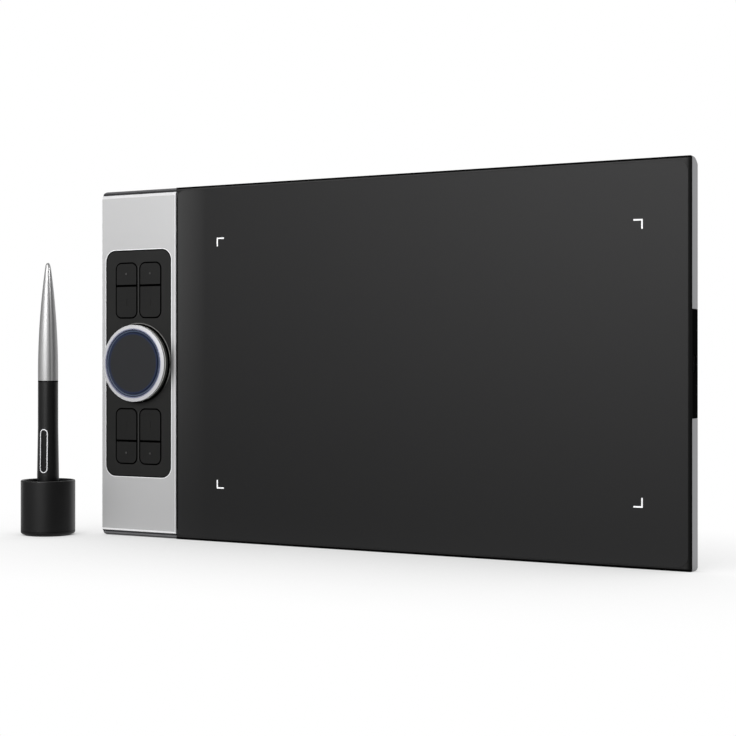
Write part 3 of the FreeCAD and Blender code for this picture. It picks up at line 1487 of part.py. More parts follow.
def flat_cables():
    half = "ribbon_thickness / 2"
    owner = new_body()
    path = sketch(owner, "level", RIBBON_LOW)
    start_y = f"({CONTROL_REAR} + connector_height / 2)"
    end_y = f"({MAIN_FRONT} - connector_height / 2)"
    start_x = f"{CONTROL_PLUG} + connector_length"
    outline(path, [
        (start_x, f"{start_y} - {half}"),
        (MAIN_BOARD_LEFT, f"{end_y} - {half}"),
        (MAIN_BOARD_LEFT, f"{end_y} + {half}"),
        (start_x, f"{start_y} + {half}"),
    ])
    pad(owner, path, "ribbon_width")
    finish("control_ribbon", owner)
    lead = new_body()
    path = sketch(lead, "level", SENSOR_LEAD_LOW)
    edge = SENSOR_RIGHT
    far = f"({edge} + connector_side + connector_length / 2)"
    top = f"({SEAM} + sensor_thickness / 3)"
    plug_front = f"({MAIN_FRONT} - connector_height)"
    outline(path, [
        (edge, top),
        (far, top),
        (far, plug_front),
        (f"{far} - ribbon_thickness", plug_front),
        (f"{far} - ribbon_thickness", f"{top} + ribbon_thickness"),
        (edge, f"{top} + ribbon_thickness"),
    ])
    pad(lead, path, "sensor_lead_width")
    finish("sensor_ribbon", lead)


# Pen stand: a base with spare nibs, and a cup that twists on its neck.
STAND_NECK = "(stand_radius - stand_neck_inset)"
NIB_RING = f"((stand_well_radius + {STAND_NECK}) / 2)"


def pen_stand():
    foot = new_body()
    drawing = sketch(foot, "level", "0")
    circle(drawing, "stand_radius - stand_edge - stand_foot_inset")
    pad(foot, drawing, "stand_foot_height")
    finish("stand_foot", stand_here(foot))
    base = new_body()
    turned(base, "plan", [
        ("0", "stand_foot_height"),
        ("stand_radius - stand_edge", "stand_foot_height", "stand_edge", -1),
        ("stand_radius", "stand_foot_height + stand_edge"),
        ("stand_radius", "stand_seam"),
        (STAND_NECK, "stand_seam"),
        (STAND_NECK, "stand_neck_top"),
        ("stand_well_radius", "stand_neck_top"),
        ("stand_well_radius", "stand_well_floor"),
        ("0", "stand_well_floor"),
    ])
    hole = sketch(base, "level", "stand_neck_top")
    circle(hole, "nib_radius + spare_nib_gap", NIB_RING, "0")
    bore = pocket(base, hole, "stand_neck_top - spare_nib_bottom")
    doc.recompute()
    ring_pattern(base, bore, "Z_Axis", SPARE_NIBS)
    finish("stand_base", stand_here(base))
    nibs = []
    for number in range(SPARE_NIBS):
        turn = 2 * math.pi * number / SPARE_NIBS
        x = f"{STAND_X} + {NIB_RING} * {round(math.cos(turn), 6)}"
        y = f"{STAND_Y} + {NIB_RING} * {round(math.sin(turn), 6)}"
        nibs.append(rod("nib_radius", "z", "spare_nib_bottom",
                        "spare_nib_bottom + spare_nib_length", x, y))
    finish("spare_nibs", group(nibs))
    cup = new_body()
    turned(cup, "plan", [
        (f"{STAND_NECK} + stand_turn_gap", "stand_seam + stand_seam_gap"),
        ("stand_radius", "stand_seam + stand_seam_gap"),
        ("stand_radius", "stand_height - stand_lip", "stand_lip", -1),
        ("stand_radius - stand_lip", "stand_height"),
        ("stand_radius - stand_wall + stand_lip", "stand_height", "stand_lip", -1),
        ("stand_radius - stand_wall", "stand_height - stand_lip"),
        ("stand_radius - stand_wall", "stand_dish_edge + stand_wall", "stand_wall", 1),
        ("stand_radius - 2 * stand_wall", "stand_dish_edge"),
        ("liner_radius + liner_lip", "stand_dish_centre"),
        ("liner_radius", "stand_dish_centre"),
        ("liner_radius", "stand_web_bottom"),
        (f"{STAND_NECK} + stand_turn_gap", "stand_web_bottom"),
    ])
    finish("stand_cup", stand_here(cup))
    liner = new_body()
    nose_slope = "(nose_top_radius - nose_tip_radius) / (nose_top - nose_bottom)"
    entry = f"nose_tip_radius + {nose_slope} * (stand_web_bottom - nose_bottom)"
    lip_top = "stand_dish_centre + liner_lip_height"
    turned(liner, "plan", [
        (f"{entry} + 3 * liner_gap", "stand_web_bottom"),
        ("liner_radius", "stand_web_bottom"),
        ("liner_radius", "stand_dish_centre"),
        ("liner_radius + liner_lip", "stand_dish_centre"),
        ("liner_radius + liner_lip", lip_top),
        ("nose_top_radius + 2 * liner_gap", lip_top),
    ])
    finish("stand_liner", stand_here(liner))


# Pen, nib down. Every piece is turned about the stand's axis.
GRIP_SLOPE = "((grip_belly_radius - grip_waist_radius) / (grip_waist - grip_belly))"


def pen_shells():
    nose = new_body()
    turned(nose, "plan", [
        ("nib_radius + nib_gap", "nose_bottom"),
        ("nose_tip_radius", "nose_bottom", "nose_bow", -1),
        ("nose_top_radius", "nose_top"),
        ("grip_lower_bore - spigot_gap", "nose_top"),
        ("grip_lower_bore - spigot_gap", "nose_top + nose_spigot"),
        ("nose_cavity_radius", "nose_top + nose_spigot"),
        ("nose_cavity_radius", "nose_cavity_bottom"),
        ("nib_radius + nib_gap", "nose_cavity_bottom"),
    ])
    finish("pen_nose", stand_here(nose, 1))
    grip = new_body()
    turned(grip, "plan", [
        ("grip_lower_bore", "nose_top"),
        ("nose_top_radius", "nose_top", "grip_bow", -1),
        ("grip_belly_radius", "grip_belly"),
        ("grip_waist_radius", "grip_waist"),
        ("grip_top_radius", "grip_top"),
        ("grip_bore", "grip_top"),
        ("grip_bore", "grip_step"),
        ("grip_lower_bore", "grip_step"),
    ])
    opening = sketch(grip, "plan", "0")
    stadium(opening, "(bezel_width + 2 * bezel_gap)", "(bezel_height + 2 * bezel_gap)",
            "bezel_middle")
    pocket(grip, opening, "2 * grip_belly_radius", backwards=True)
    pivot = sketch(grip, "side", "-rocker_pin_length / 2")
    circle(pivot, "rocker_pin_radius", "-rocker_pin_depth", "bezel_middle")
    pocket(grip, pivot, "rocker_pin_length", backwards=True)
    finish("pen_grip", stand_here(grip, 1))
    tail = new_body()
    turned(tail, "plan", [
        ("grip_bore - spigot_gap - tail_wall", "grip_top - tail_spigot"),
        ("grip_bore - spigot_gap", "grip_top - tail_spigot"),
        ("grip_bore - spigot_gap", "grip_top"),
        ("grip_top_radius", "grip_top", "tail_bow", -1),
        ("tail_shoulder_radius", "tail_tip - tail_tip_height", "tail_tip_bow", -1),
        ("tail_tip_flat", "tail_tip"),
        ("0", "tail_tip"),
        ("0", "tail_bore_top"),
        ("grip_bore - spigot_gap - tail_wall", "tail_bore_top - 2 * tail_spigot"),
    ])
    facet = sketch(tail, "plan", "0")
    outline(facet, [
        ("tail_facet_from", "tail_tip + 1"),
        ("tail_facet_from", "tail_tip"),
        ("tail_facet_to", "tail_tip - tail_facet_height"),
        ("2 * tail_facet_to", "tail_tip - tail_facet_height"),
        ("2 * tail_facet_to", "tail_tip + 1"),
    ])
    pocket(tail, facet)
    finish("pen_tail", stand_here(tail, 1))


def pen_inside():
    nib = new_body()
    turned(nib, "plan", [
        ("0", "nib_tip"),
        ("nib_radius / 3", "nib_tip", "nib_radius", -1),
        ("nib_radius", "nib_tip + nib_radius"),
        ("nib_radius", "nib_tip + nib_length"),
        ("0", "nib_tip + nib_length"),
    ])
    finish("pen_nib", stand_here(nib, 1))
    ferrite = new_body()
    bottom = "nose_cavity_bottom"
    turned(ferrite, "plan", [
        ("nib_radius + nib_gap", bottom),
        ("ferrite_radius", bottom),
        ("ferrite_radius", f"{bottom} + ferrite_length"),
        ("nib_radius + nib_gap", f"{bottom} + ferrite_length"),
    ])
    finish("pen_ferrite", stand_here(ferrite, 1))
    coil = new_body()
    coil_bottom = f"{bottom} + coil_inset"
    turned(coil, "plan", [
        ("ferrite_radius", coil_bottom),
        ("coil_radius", coil_bottom),
        ("coil_radius", f"{coil_bottom} + coil_length"),
        ("ferrite_radius", f"{coil_bottom} + coil_length"),
    ])
    finish("pen_coil", stand_here(coil, 1))
    gauge_bottom = "nib_tip + nib_length + gauge_gap"
    gauge = new_body()
    drawing = sketch(gauge, "level", gauge_bottom)
    circle(drawing, "gauge_radius")
    pad(gauge, drawing, "gauge_height")
    finish("pen_pressure_sensor", stand_here(gauge, 1))
    board_bottom = f"{gauge_bottom} + gauge_height"
    board = new_body()
    drawing = sketch(board, "level", board_bottom)
    rectangle(drawing, "-pen_board_width / 2", "-pen_board_thickness / 2",
              "pen_board_width / 2", "pen_board_thickness / 2")
    pad(board, drawing, f"pen_board_top - ({board_bottom})")
    finish("pen_board", stand_here(board, 1))
    switches = []
    half = "pen_switch_side / 2"
    for side in ("+", "-"):
        switch = new_body()
        z = f"bezel_middle {side} pen_switch_spread"
        front = "-pen_board_thickness / 2 - pen_switch_height"
        plate(switch, lambda d: rectangle(d, f"-{half}", f"{z} - {half}", half, f"{z} + {half}"),
              front, "-pen_board_thickness / 2")
        switches.append(stand_here(switch, 1))
    finish("pen_switches", group(switches))


def pen_rocker_set():
    """The side switch: a bright line let into the grip, and a rocker on a cross pin in it."""
    def shell(rise, thickness):
        """A slice of the grip's own taper, so that what is cut from it follows the barrel."""
        low = "bezel_middle - bezel_height / 2 - 1"
        high = "bezel_middle + bezel_height / 2 + 1"
        owner = new_body()
        at_low = f"grip_belly_radius - {GRIP_SLOPE} * ({low} - grip_belly) + {rise}"
        at_high = f"grip_belly_radius - {GRIP_SLOPE} * ({high} - grip_belly) + {rise}"
        turned(owner, "plan", [
            (f"{at_low} - {thickness}", low),
            (at_low, low),
            (at_high, high),
            (f"{at_high} - {thickness}", high),
        ])
        return owner

    def keep(owner, draw):
        """Keeps only what is in front of the axis and inside the line that draw makes."""
        drawing = sketch(owner, "plan", "0")
        reach = "3 * grip_belly_radius"
        rectangle(drawing, f"-{reach}", "bezel_middle - bezel_height", reach,
                  "bezel_middle + bezel_height")
        draw(drawing)
        pocket(owner, drawing, reach, backwards=True)
        behind = sketch(owner, "plan", "0")
        rectangle(behind, f"-{reach}", "bezel_middle - bezel_height", reach,
                  "bezel_middle + bezel_height")
        pocket(owner, behind, reach)

    bezel = shell("bezel_proud", "bezel_thickness")
    keep(bezel, lambda d: stadium(d, "bezel_width", "bezel_height", "bezel_middle"))
    inner_width = "(bezel_width - 2 * bezel_line)"
    inner_height = "(bezel_height - 2 * bezel_line)"
    hole = sketch(bezel, "plan", "0")
    stadium(hole, inner_width, inner_height, "bezel_middle")
    pocket(bezel, hole, "3 * grip_belly_radius", backwards=True)
    finish("pen_bezel", stand_here(bezel, 1))
    rocker = shell("-rocker_sunk", "rocker_thickness")
    keep(rocker, lambda d: stadium(d, f"({inner_width} - 2 * rocker_gap)",
                                   f"({inner_height} - 2 * rocker_gap)", "bezel_middle"))
    lug = sketch(rocker, "side", "-rocker_lug_width / 2")
    rectangle(lug, "-grip_waist_radius + rocker_thickness / 4",
              "bezel_middle - rocker_lug_height / 2",
              "-rocker_pin_depth + 2 * rocker_pin_radius",
              "bezel_middle + rocker_lug_height / 2")
    pad(rocker, lug, "rocker_lug_width")
    bore = sketch(rocker, "side", "0")
    circle(bore, "rocker_pin_radius + rocker_pin_gap", "-rocker_pin_depth", "bezel_middle")
    pocket(rocker, bore)
    finish("pen_rocker", stand_here(rocker, 1))
    pin = new_body()
    drawing = sketch(pin, "side", "-rocker_pin_length / 2")
    circle(drawing, "rocker_pin_radius", "-rocker_pin_depth", "bezel_middle")
    pad(pin, drawing, "rocker_pin_length")
    finish("pen_rocker_pin", stand_here(pin, 1))


def tablet():
    back_cover()
    rubber_feet()
    cover_screws()
    port_block()
    usb_c_receptacle()
    strip_cover()
    front_frame()
    work_surface()
    sensor_stack()
    control_panel()
    for details in key_places():
        key(*details)
    control_board()
    lower, upper = key_groups()
    key_pad("lower_key_pad", *lower)
    key_pad("upper_key_pad", *upper)
    dial_ring()
    dial_rotor()
    magnet_ring()
    detent_spring()
    dial_hub()
    light_ring()
    touch_pieces()
    main_board()
    flat_cables()


def pen():
    pen_shells()
    pen_inside()
    pen_rocker_set()


def check_document():
    for thing in doc.Objects:
        if any(word in thing.State for word in ("Invalid", "Error")):
            raise RuntimeError(f"{thing.Name} ({thing.Label}) is {thing.State}")
    for node, thing in NODES.items():
        shape = thing.Shape
        if shape.isNull() or not shape.isValid() or not shape.Solids:
            raise RuntimeError(f"{node} has no valid solid")
        print(f"{node}: {len(shape.Solids)} solid, {shape.Volume:.1f} mm3")


tablet()
pen_stand()
pen()
doc.recompute()
check_document()
os.makedirs("parts", exist_ok=True)
for node, thing in NODES.items():
    thing.Shape.exportStep(f"parts/{node}.step")
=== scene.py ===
# %% [markdown]
# # A graphics tablet with its pen in a stand
#
# The tablet is a thin slab: a silver metal tray, a black drawing sheet, and on the left a
# silver strip with a black panel that holds eight keys and a turning dial. The pen stands nib
# down in a round cup. The solids come from the CAD model, so this file is about finishes and
# about the small things that solids leave out.

# %% Load the frame
import math

import bmesh
import bpy
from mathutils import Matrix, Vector


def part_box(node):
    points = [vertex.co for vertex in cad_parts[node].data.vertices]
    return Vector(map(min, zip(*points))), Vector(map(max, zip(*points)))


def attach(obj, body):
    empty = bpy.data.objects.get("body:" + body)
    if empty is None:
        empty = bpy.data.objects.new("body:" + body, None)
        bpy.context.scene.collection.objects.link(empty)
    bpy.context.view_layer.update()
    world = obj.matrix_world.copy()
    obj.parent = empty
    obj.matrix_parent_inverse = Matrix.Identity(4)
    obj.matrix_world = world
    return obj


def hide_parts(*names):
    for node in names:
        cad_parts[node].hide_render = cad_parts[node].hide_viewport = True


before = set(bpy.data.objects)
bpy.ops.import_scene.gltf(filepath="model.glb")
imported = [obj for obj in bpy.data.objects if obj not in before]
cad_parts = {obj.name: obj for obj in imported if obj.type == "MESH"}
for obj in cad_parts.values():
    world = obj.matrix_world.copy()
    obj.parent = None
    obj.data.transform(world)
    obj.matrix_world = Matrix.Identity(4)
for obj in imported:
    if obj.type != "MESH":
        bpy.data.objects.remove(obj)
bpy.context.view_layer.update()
MM = 0.001
print("pieces from the CAD model:", len(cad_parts))

# %% [markdown]
# ## Writing materials as expressions
#
# A material is a graph of nodes. It could be wired by hand in the shader editor, or in Python
# line by line, but a formula then takes many lines. So a small class wraps an output socket
# and lets Python's operators add the Math nodes, and a ring mask reads like the formula that
# it is. A second class holds the tree, adds every other node and closes the tree with its
# shader.


# %% A socket that can be calculated with
class Value:
    """A number that varies over the surface. Operators on it add Math nodes, and a bar between
    two masks keeps the larger of them."""

    def __init__(self, finish, socket):
        self.finish = finish
        self.socket = socket

    def math(self, operation, other=None):
        links = {"0": self}
        if other is not None:
            links["1"] = other
        return self.finish.node("ShaderNodeMath", {"operation": operation}, links)

    def __add__(self, other):
        return self.math("ADD", other)

    __radd__ = __add__

    def __mul__(self, other):
        return self.math("MULTIPLY", other)

    __rmul__ = __mul__

    def __sub__(self, other):
        return self.math("SUBTRACT", other)

    def __rsub__(self, other):
        return self * -1 + other

    def __gt__(self, other):
        return self.math("GREATER_THAN", other)

    def __lt__(self, other):
        return self.math("LESS_THAN", other)

    def __or__(self, other):
        return self.math("MAXIMUM", other)

    def __abs__(self):
        return self.math("ABSOLUTE")


# %% A material in the making
# The colour below is black for painted shade, mixed in where a gap or a groove lies in shadow.
SHADE_BLACK = (0.0015, 0.0015, 0.0015)


class Finish:
    """A material in the making. node() adds any node; settings go in before its sockets."""

    def __init__(self, name):
        self.material = bpy.data.materials.new(name)
        self.material.use_nodes = True
        self.tree = self.material.node_tree
        self.tree.nodes.clear()

    def node(self, kind, settings=None, sockets=None, out=0):
        node = self.tree.nodes.new(kind)
        for key, setting in (settings or {}).items():
            setattr(node, key, setting)
        for key, content in (sockets or {}).items():
            target = node.inputs[int(key)] if key.isdigit() else node.inputs[key]
            if isinstance(content, Value):
                self.tree.links.new(content.socket, target)
            elif isinstance(content, list):
                for part in content:
                    self.tree.links.new(part.socket, target)
            elif isinstance(content, tuple) and len(content) == 3 and target.type == "RGBA":
                target.default_value = (*content, 1)
            else:
                target.default_value = content
        return Value(self, node.outputs[out])

    def place(self, scale=(1, 1, 1), turn=(0, 0, 0), shift=(0, 0, 0)):
        """Object coordinates, scaled, turned and shifted."""
        start = self.node("ShaderNodeTexCoord", out="Object")
        return self.node("ShaderNodeMapping", None,
                         {"Vector": start, "Scale": scale, "Rotation": turn, "Location": shift})

    def noise(self, scale, detail=2.0, rough=0.5, where=None):
        where = where or self.place()
        return self.node("ShaderNodeTexNoise", None,
                         {"Vector": where, "Scale": scale, "Detail": detail,
                          "Roughness": rough}, out="Fac")

    def between(self, amount, first, second):
        """A colour between two colours."""
        return self.node("ShaderNodeMix", {"data_type": "RGBA"},
                         {"0": amount, "6": first, "7": second}, out=2)

    def bump(self, height, depth, normal=None):
        sockets = {"Height": height, "Distance": depth, "Strength": 1.0}
        if normal is not None:
            sockets["Normal"] = normal
        return self.node("ShaderNodeBump", None, sockets, out="Normal")

    def ramp(self, amount, start, end, low=0.0, high=1.0, curve="SMOOTHSTEP"):
        """A step from low at start to high at end, soft unless the curve is LINEAR."""
        return self.node("ShaderNodeMapRange", {"interpolation_type": curve},
                         {"Value": amount, "From Min": start, "From Max": end,
                          "To Min": low, "To Max": high})

    def surface(self, dark=None, **sockets):
        """Ends the material in a Principled shader; a_b stands for the socket 'A B'. Where dark is
        1 a black shader is mixed in as painted shade, for a gap or a groove."""
        named = {key.replace("_", " ").title().replace("Ior", "IOR"): content
                 for key, content in sockets.items()}
        shader = self.node("ShaderNodeBsdfPrincipled", None, named, out="BSDF")
        if dark is not None:
            # A black shader that gives back no light: painted shade.
            shade_shader = self.node("ShaderNodeBsdfPrincipled", None,
                             {"Base Color": SHADE_BLACK, "Roughness": 0.9,
                              "Specular IOR Level": 0.0}, out="BSDF")
            shader = self.node("ShaderNodeMixShader", None, {"0": dark, "1": shader, "2": shade_shader})
        self.node_output(shader)
        return self.material

    def node_output(self, shader):
        output = self.tree.nodes.new("ShaderNodeOutputMaterial")
        self.tree.links.new(shader.socket, output.inputs["Surface"])


def shaded(colour, share):
    """A colour made darker or brighter by one factor."""
    return tuple(channel * share for channel in colour)


# %% [markdown]
# ## Measuring on the surface
#
# The tablet's edges, gaps and grooves are thin lines of light and shadow. They could be painted
# in an image, but then they would blur close up and stay behind when a size changes. Here each
# is a mask from a distance. Every CAD piece keeps its place in its mesh, so Object coordinates
# are metres in one frame for all of them, and a line lies where the model has its edge.


# %% Distances
def along(finish, axis):
    """How far a point lies along one axis of the frame."""
    start = finish.node("ShaderNodeTexCoord", out="Object")
    return finish.node("ShaderNodeSeparateXYZ", None, {"Vector": start}, out=axis)


def band(amount, low, high):
    """1 between two values, 0 outside them."""
    return (amount > low) * (amount < high)


def from_outline(across, up, half_width, half_height, corner):
    """Distance from a rounded rectangle about zero, negative inside it."""
    over_x = (abs(across) - (half_width - corner)).math("MAXIMUM", 0.0)
    over_z = (abs(up) - (half_height - corner)).math("MAXIMUM", 0.0)
    return (over_x * over_x + over_z * over_z).math("SQRT") - corner


# %% The panel's window in the strip
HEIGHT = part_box("back_cover")[1][2]
STRIP_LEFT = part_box("strip_cover")[0][0]
STRIP_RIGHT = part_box("strip_cover")[1][0]
DIAL_LOW, DIAL_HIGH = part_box("dial_ring")
DIAL_X = (DIAL_LOW[0] + DIAL_HIGH[0]) / 2
DIAL_Z = (DIAL_LOW[2] + DIAL_HIGH[2]) / 2
LEFT_BORDER = 3.3 * MM
RIGHT_BORDER = 3.2 * MM
WINDOW_LEFT = STRIP_LEFT + LEFT_BORDER
WINDOW_RIGHT = STRIP_RIGHT - RIGHT_BORDER
WINDOW_HEIGHT = 131.4 * MM
WINDOW_CORNER = 6.5 * MM


def from_window(finish):
    """Distance from the edge of the panel's window."""
    across = along(finish, "X") - (WINDOW_LEFT + WINDOW_RIGHT) / 2
    return from_outline(across, along(finish, "Z") - DIAL_Z,
                        (WINDOW_RIGHT - WINDOW_LEFT) / 2, WINDOW_HEIGHT / 2, WINDOW_CORNER)


print("dial axis at x, z:", round(DIAL_X, 4), round(DIAL_Z, 4))

# %% [markdown]
# ## Satin metal
#
# The strip and the tray are bead-blasted aluminium: no grain direction, just a very fine
# sparkle that softens reflections. Fine noise moves the roughness and the bump, and a slow
# noise keeps large areas from looking painted. A scanned texture could do it too, but it would
# need unwrapped faces, and noise in Object coordinates needs none.

# %% Satin aluminium
BLAST_GRAIN = 5200.0
BLAST_DEPTH = 0.000004


def satin_metal(name, colour, rough, metallic, edges=None):
    """Blasted metal. edges paints highlights and shades onto what is cut after the blasting, and
    smooths it.
    """
    finish = Finish(name)
    fine = finish.noise(BLAST_GRAIN, 1.0)
    cloud = finish.noise(38.0, 3.0)
    tint = finish.between(cloud, shaded(colour, 0.97), colour)
    roughness = rough + (fine - 0.5) * 0.10 + (cloud - 0.5) * 0.05
    if edges:
        tint, roughness = edges(finish, tint, roughness)
    return finish.surface(base_color=tint, metallic=metallic, roughness=roughness,
                          normal=finish.bump(fine, BLAST_DEPTH))


# The tray's silver is set darker than the strip's as painted shade, for its side that faces away
# from the light.
tray_silver = satin_metal("tray_silver", (0.30, 0.30, 0.31), 0.42, 1.0)
print("blasted metal:", tray_silver.name)

# %% [markdown]
# ## The strip's cut edges
#
# The strip's ends and its window are cut after blasting, and the cut is smoother. The narrow
# bright lines along those edges are a painted highlight on that cut, and each end has a painted
# bright face, a painted dark chamfer and a painted grey flare, which stand for the highlight and
# the reflections of its rounded edge. Beside the dial a painted shade darkens it, because the dial
# stands in its light. Each is one band of the distance to the nearer end, to the window or to the
# dial's axis, and the bands are laid over each other.

# %% Sizes of the cut edges
FACE_INSET = 4.15 * MM
CHAMFER_END = 2.4 * MM
GROOVE_END = 1.25 * MM
FOOT_CHAMFER_END = 3.05 * MM
FOOT_LINE = (1.0 * MM, 1.9 * MM)
EDGE_LINE = 0.55 * MM
# The colours below are painted: highlights on the cut lines and the cut face, and shade for the
# chamfer, the flare and the dial's shadow.
CUT_LINE_HIGHLIGHT = (0.82, 0.82, 0.83)
CUT_FACE_HIGHLIGHT = (0.95, 0.95, 0.96)
CUT_SMOOTHER = 0.12
CHAMFER_SHADE = (0.03, 0.03, 0.032)
FLARE_SHADE = (0.16, 0.16, 0.165)
SHADE_DARK = (0.03, 0.03, 0.031)
SHADE_AT_AXIS = 2 * MM
SHADE_TIP = 17 * MM
SHADE_RUNOUT = 1.5 * MM
SHADE_LAP = 1 * MM
SHADE_STRENGTH = 0.9


# %% The strip's metal
def beside_dial(finish):
    """The shade that the dial leaves on the border beside it, deepest at the dial's axis."""
    across = along(finish, "X")
    shade = finish.ramp(abs(along(finish, "Z") - DIAL_Z), SHADE_TIP, SHADE_AT_AXIS)
    shade = shade * finish.ramp(across, STRIP_RIGHT + SHADE_RUNOUT, WINDOW_RIGHT)
    return shade * (across > WINDOW_RIGHT - SHADE_LAP)


def strip_edges(finish, tint, roughness):
    """Lays the painted highlights and shades of the cut edges and of the dial over the blasted
    metal, the later ones on top.
    """
    height = along(finish, "Z")
    to_end = height.math("MINIMUM", HEIGHT - height)
    right = along(finish, "X") > STRIP_RIGHT - EDGE_LINE
    layers = (
        (band(from_window(finish), 0.0, EDGE_LINE) | right, CUT_LINE_HIGHLIGHT),
        (beside_dial(finish) * SHADE_STRENGTH, SHADE_DARK),
        (to_end < FACE_INSET, CUT_FACE_HIGHLIGHT),
        (to_end < CHAMFER_END, CHAMFER_SHADE),
        (to_end < GROOVE_END, FLARE_SHADE),
        (height < FOOT_CHAMFER_END, CHAMFER_SHADE),
        (band(height, *FOOT_LINE), FLARE_SHADE),
    )
    for mask, colour in layers:
        tint = finish.between(mask, tint, colour)
    return tint, roughness - (to_end < FACE_INSET) * CUT_SMOOTHER


silver = satin_metal("satin_silver", (0.47, 0.47, 0.473), 0.50, 0.6, edges=strip_edges)
print("strip metal:", silver.name, "with", len(silver.node_tree.nodes), "nodes")

# %% [markdown]
# ## Matte moulded plastic
#
# The panel, the keys and the stand are moulded in black plastic with a spark-eroded texture.
# Two sizes of noise give the bump: the tool's fine texture and a weaker, wider unevenness.
# Black parts are told from each other by their gaps, and a gap is black because light that goes in
# doesn't come out. A darker colour alone would still mirror the room, so a second shader that
# gives back nothing is mixed in there as painted shade, and at the rolled edges beside it. Thin
# lines that catch the light get a lighter colour as a painted highlight.


# %% Matte plastic
def matte_plastic(name, colour, rough, grain=3800.0, depth=0.000012, sheen=0.14, gaps=None,
                  highlights=None, highlight_colour=None):
    """Moulded plastic. Both masks are functions: gaps gives where painted shade is mixed in, and
    the other where a lighter colour is laid on as a painted highlight.
    """
    finish = Finish(name)
    fine = finish.noise(grain, 2.0, 0.6)
    wide = finish.noise(60.0, 2.0)
    tint = finish.between(wide, shaded(colour, 0.86), shaded(colour, 1.12))
    if highlights:
        # Where that mask is 1, the lighter colour is a painted highlight.
        tint = finish.between(highlights(finish), tint, highlight_colour)
    height = fine + wide * 0.35
    return finish.surface(base_color=tint, roughness=rough + (fine - 0.5) * 0.12,
                          specular_ior_level=sheen, normal=finish.bump(height, depth),
                          dark=gaps(finish) if gaps else None)


port_black = matte_plastic("port_black", (0.006, 0.006, 0.006), 0.5, sheen=0.0)
rocker_black = matte_plastic("rocker_black", (0.0045, 0.0045, 0.0046), 0.40, 5200.0, 0.000008)
stand_black = matte_plastic("stand_black", (0.0022, 0.0022, 0.0023), 0.40, 3200.0, 0.00002, 0.35)
chip_black = matte_plastic("chip_black", (0.014, 0.014, 0.015), 0.5)
nib_black = matte_plastic("nib_black", (0.02, 0.02, 0.021), 0.32, 6000.0, 0.000004)
film_white = matte_plastic("film_white", (0.62, 0.63, 0.65), 0.4, 900.0, 0.000006)
print("plain plastics:", port_black.name, rocker_black.name, stand_black.name, chip_black.name,
      nib_black.name, film_white.name)

# %% [markdown]
# ## Outlines round the keys
#
# The keys come in four pairs, a short one beside a long one, and the pairs mirror each other
# about the dial. Eight outlines could be written out, but absolute coordinates fold the four
# pairs onto each other, so one rounded rectangle outlines them all and one line splits them.

# %% A pair of keys
FLANGE = 0.9 * MM
FRONT_SKIN = 0.06 * MM
LONG_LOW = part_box("key_3")[0]
SHORT_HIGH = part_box("key_2")[1]
PAIR_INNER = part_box("key_2")[0][0] + FLANGE - DIAL_X
PAIR_OUTER = SHORT_HIGH[0] - FLANGE - DIAL_X
PAIR_NEAR = LONG_LOW[2] + FLANGE - DIAL_Z
PAIR_FAR = SHORT_HIGH[2] - FLANGE - DIAL_Z
PAIR_SPLIT = (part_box("key_3")[1][2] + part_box("key_1")[0][2]) / 2 - DIAL_Z
PAIR_CORNER = 3.7 * MM
SPLIT_HALF = 0.65 * MM
print("a pair of keys spans", round((PAIR_OUTER - PAIR_INNER) / MM, 2), "by",
      round((PAIR_FAR - PAIR_NEAR) / MM, 2), "mm")


# %% Outline and split
def from_keys(finish):
    """Distance from the outline round a short and a long key."""
    across = abs(along(finish, "X") - DIAL_X) - (PAIR_INNER + PAIR_OUTER) / 2
    up = abs(along(finish, "Z") - DIAL_Z) - (PAIR_NEAR + PAIR_FAR) / 2
    return from_outline(across, up, (PAIR_OUTER - PAIR_INNER) / 2, (PAIR_FAR - PAIR_NEAR) / 2,
                        PAIR_CORNER)


def on_split(finish):
    """The line between a short and a long key, where painted shade goes."""
    return abs(abs(along(finish, "Z") - DIAL_Z) - PAIR_SPLIT) < SPLIT_HALF


def behind(finish, front):
    """What lies deeper than a front face, such as the walls of its openings."""
    return along(finish, "Y") > front + FRONT_SKIN


# %% [markdown]
# ## The control panel
#
# The panel is one moulding. Its outline, the walls of its openings and the floor of the dial's
# recess lie in shadow, which is painted black. Two parts of it catch light: the rib between the
# two rows of keys, weakly, and the rim of the recess, at its upper right. As faces they would be
# thinner than the mesh needs anywhere else, so they are painted highlights, masks on the flat
# front.

# %% Panel plastic
PANEL_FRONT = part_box("control_panel")[0][1]
PANEL_EDGE = 0.5 * MM
OPENING_EDGE = 0.55 * MM
RIB_HALF = 0.3 * MM
RIB_END = 1.5 * MM
RIB_STRENGTH = 0.1
RECESS_RIM = (22.7 * MM, 23.4 * MM)
RIM_LIT = (2 * MM, 18 * MM)


def panel_gaps(finish):
    """Painted shade on the panel's outline, the walls of its openings and the floor of the dial's
    recess.
    """
    outline = from_window(finish) > -PANEL_EDGE
    return outline | (from_keys(finish) < OPENING_EDGE) | behind(finish, PANEL_FRONT)


def panel_lines(finish):
    """A painted highlight on the rib between the two rows of keys, and on the recess's rim where
    it catches the light.
    """
    across = along(finish, "X") - DIAL_X
    up = along(finish, "Z") - DIAL_Z
    rib = (abs(across) < RIB_HALF) * (from_keys(finish) < RIB_END)
    rim = band((across * across + up * up).math("SQRT"), *RECESS_RIM)
    return (rib * RIB_STRENGTH) | (rim * finish.ramp(across + up, *RIM_LIT))


# The lighter colour is the painted highlight on the rib and the rim.
housing_black = matte_plastic("housing_black", (0.0112, 0.0112, 0.0109), 0.46, gaps=panel_gaps,
                              highlights=panel_lines, highlight_colour=(0.13, 0.13, 0.125))
print("panel front at y:", round(PANEL_FRONT, 5))

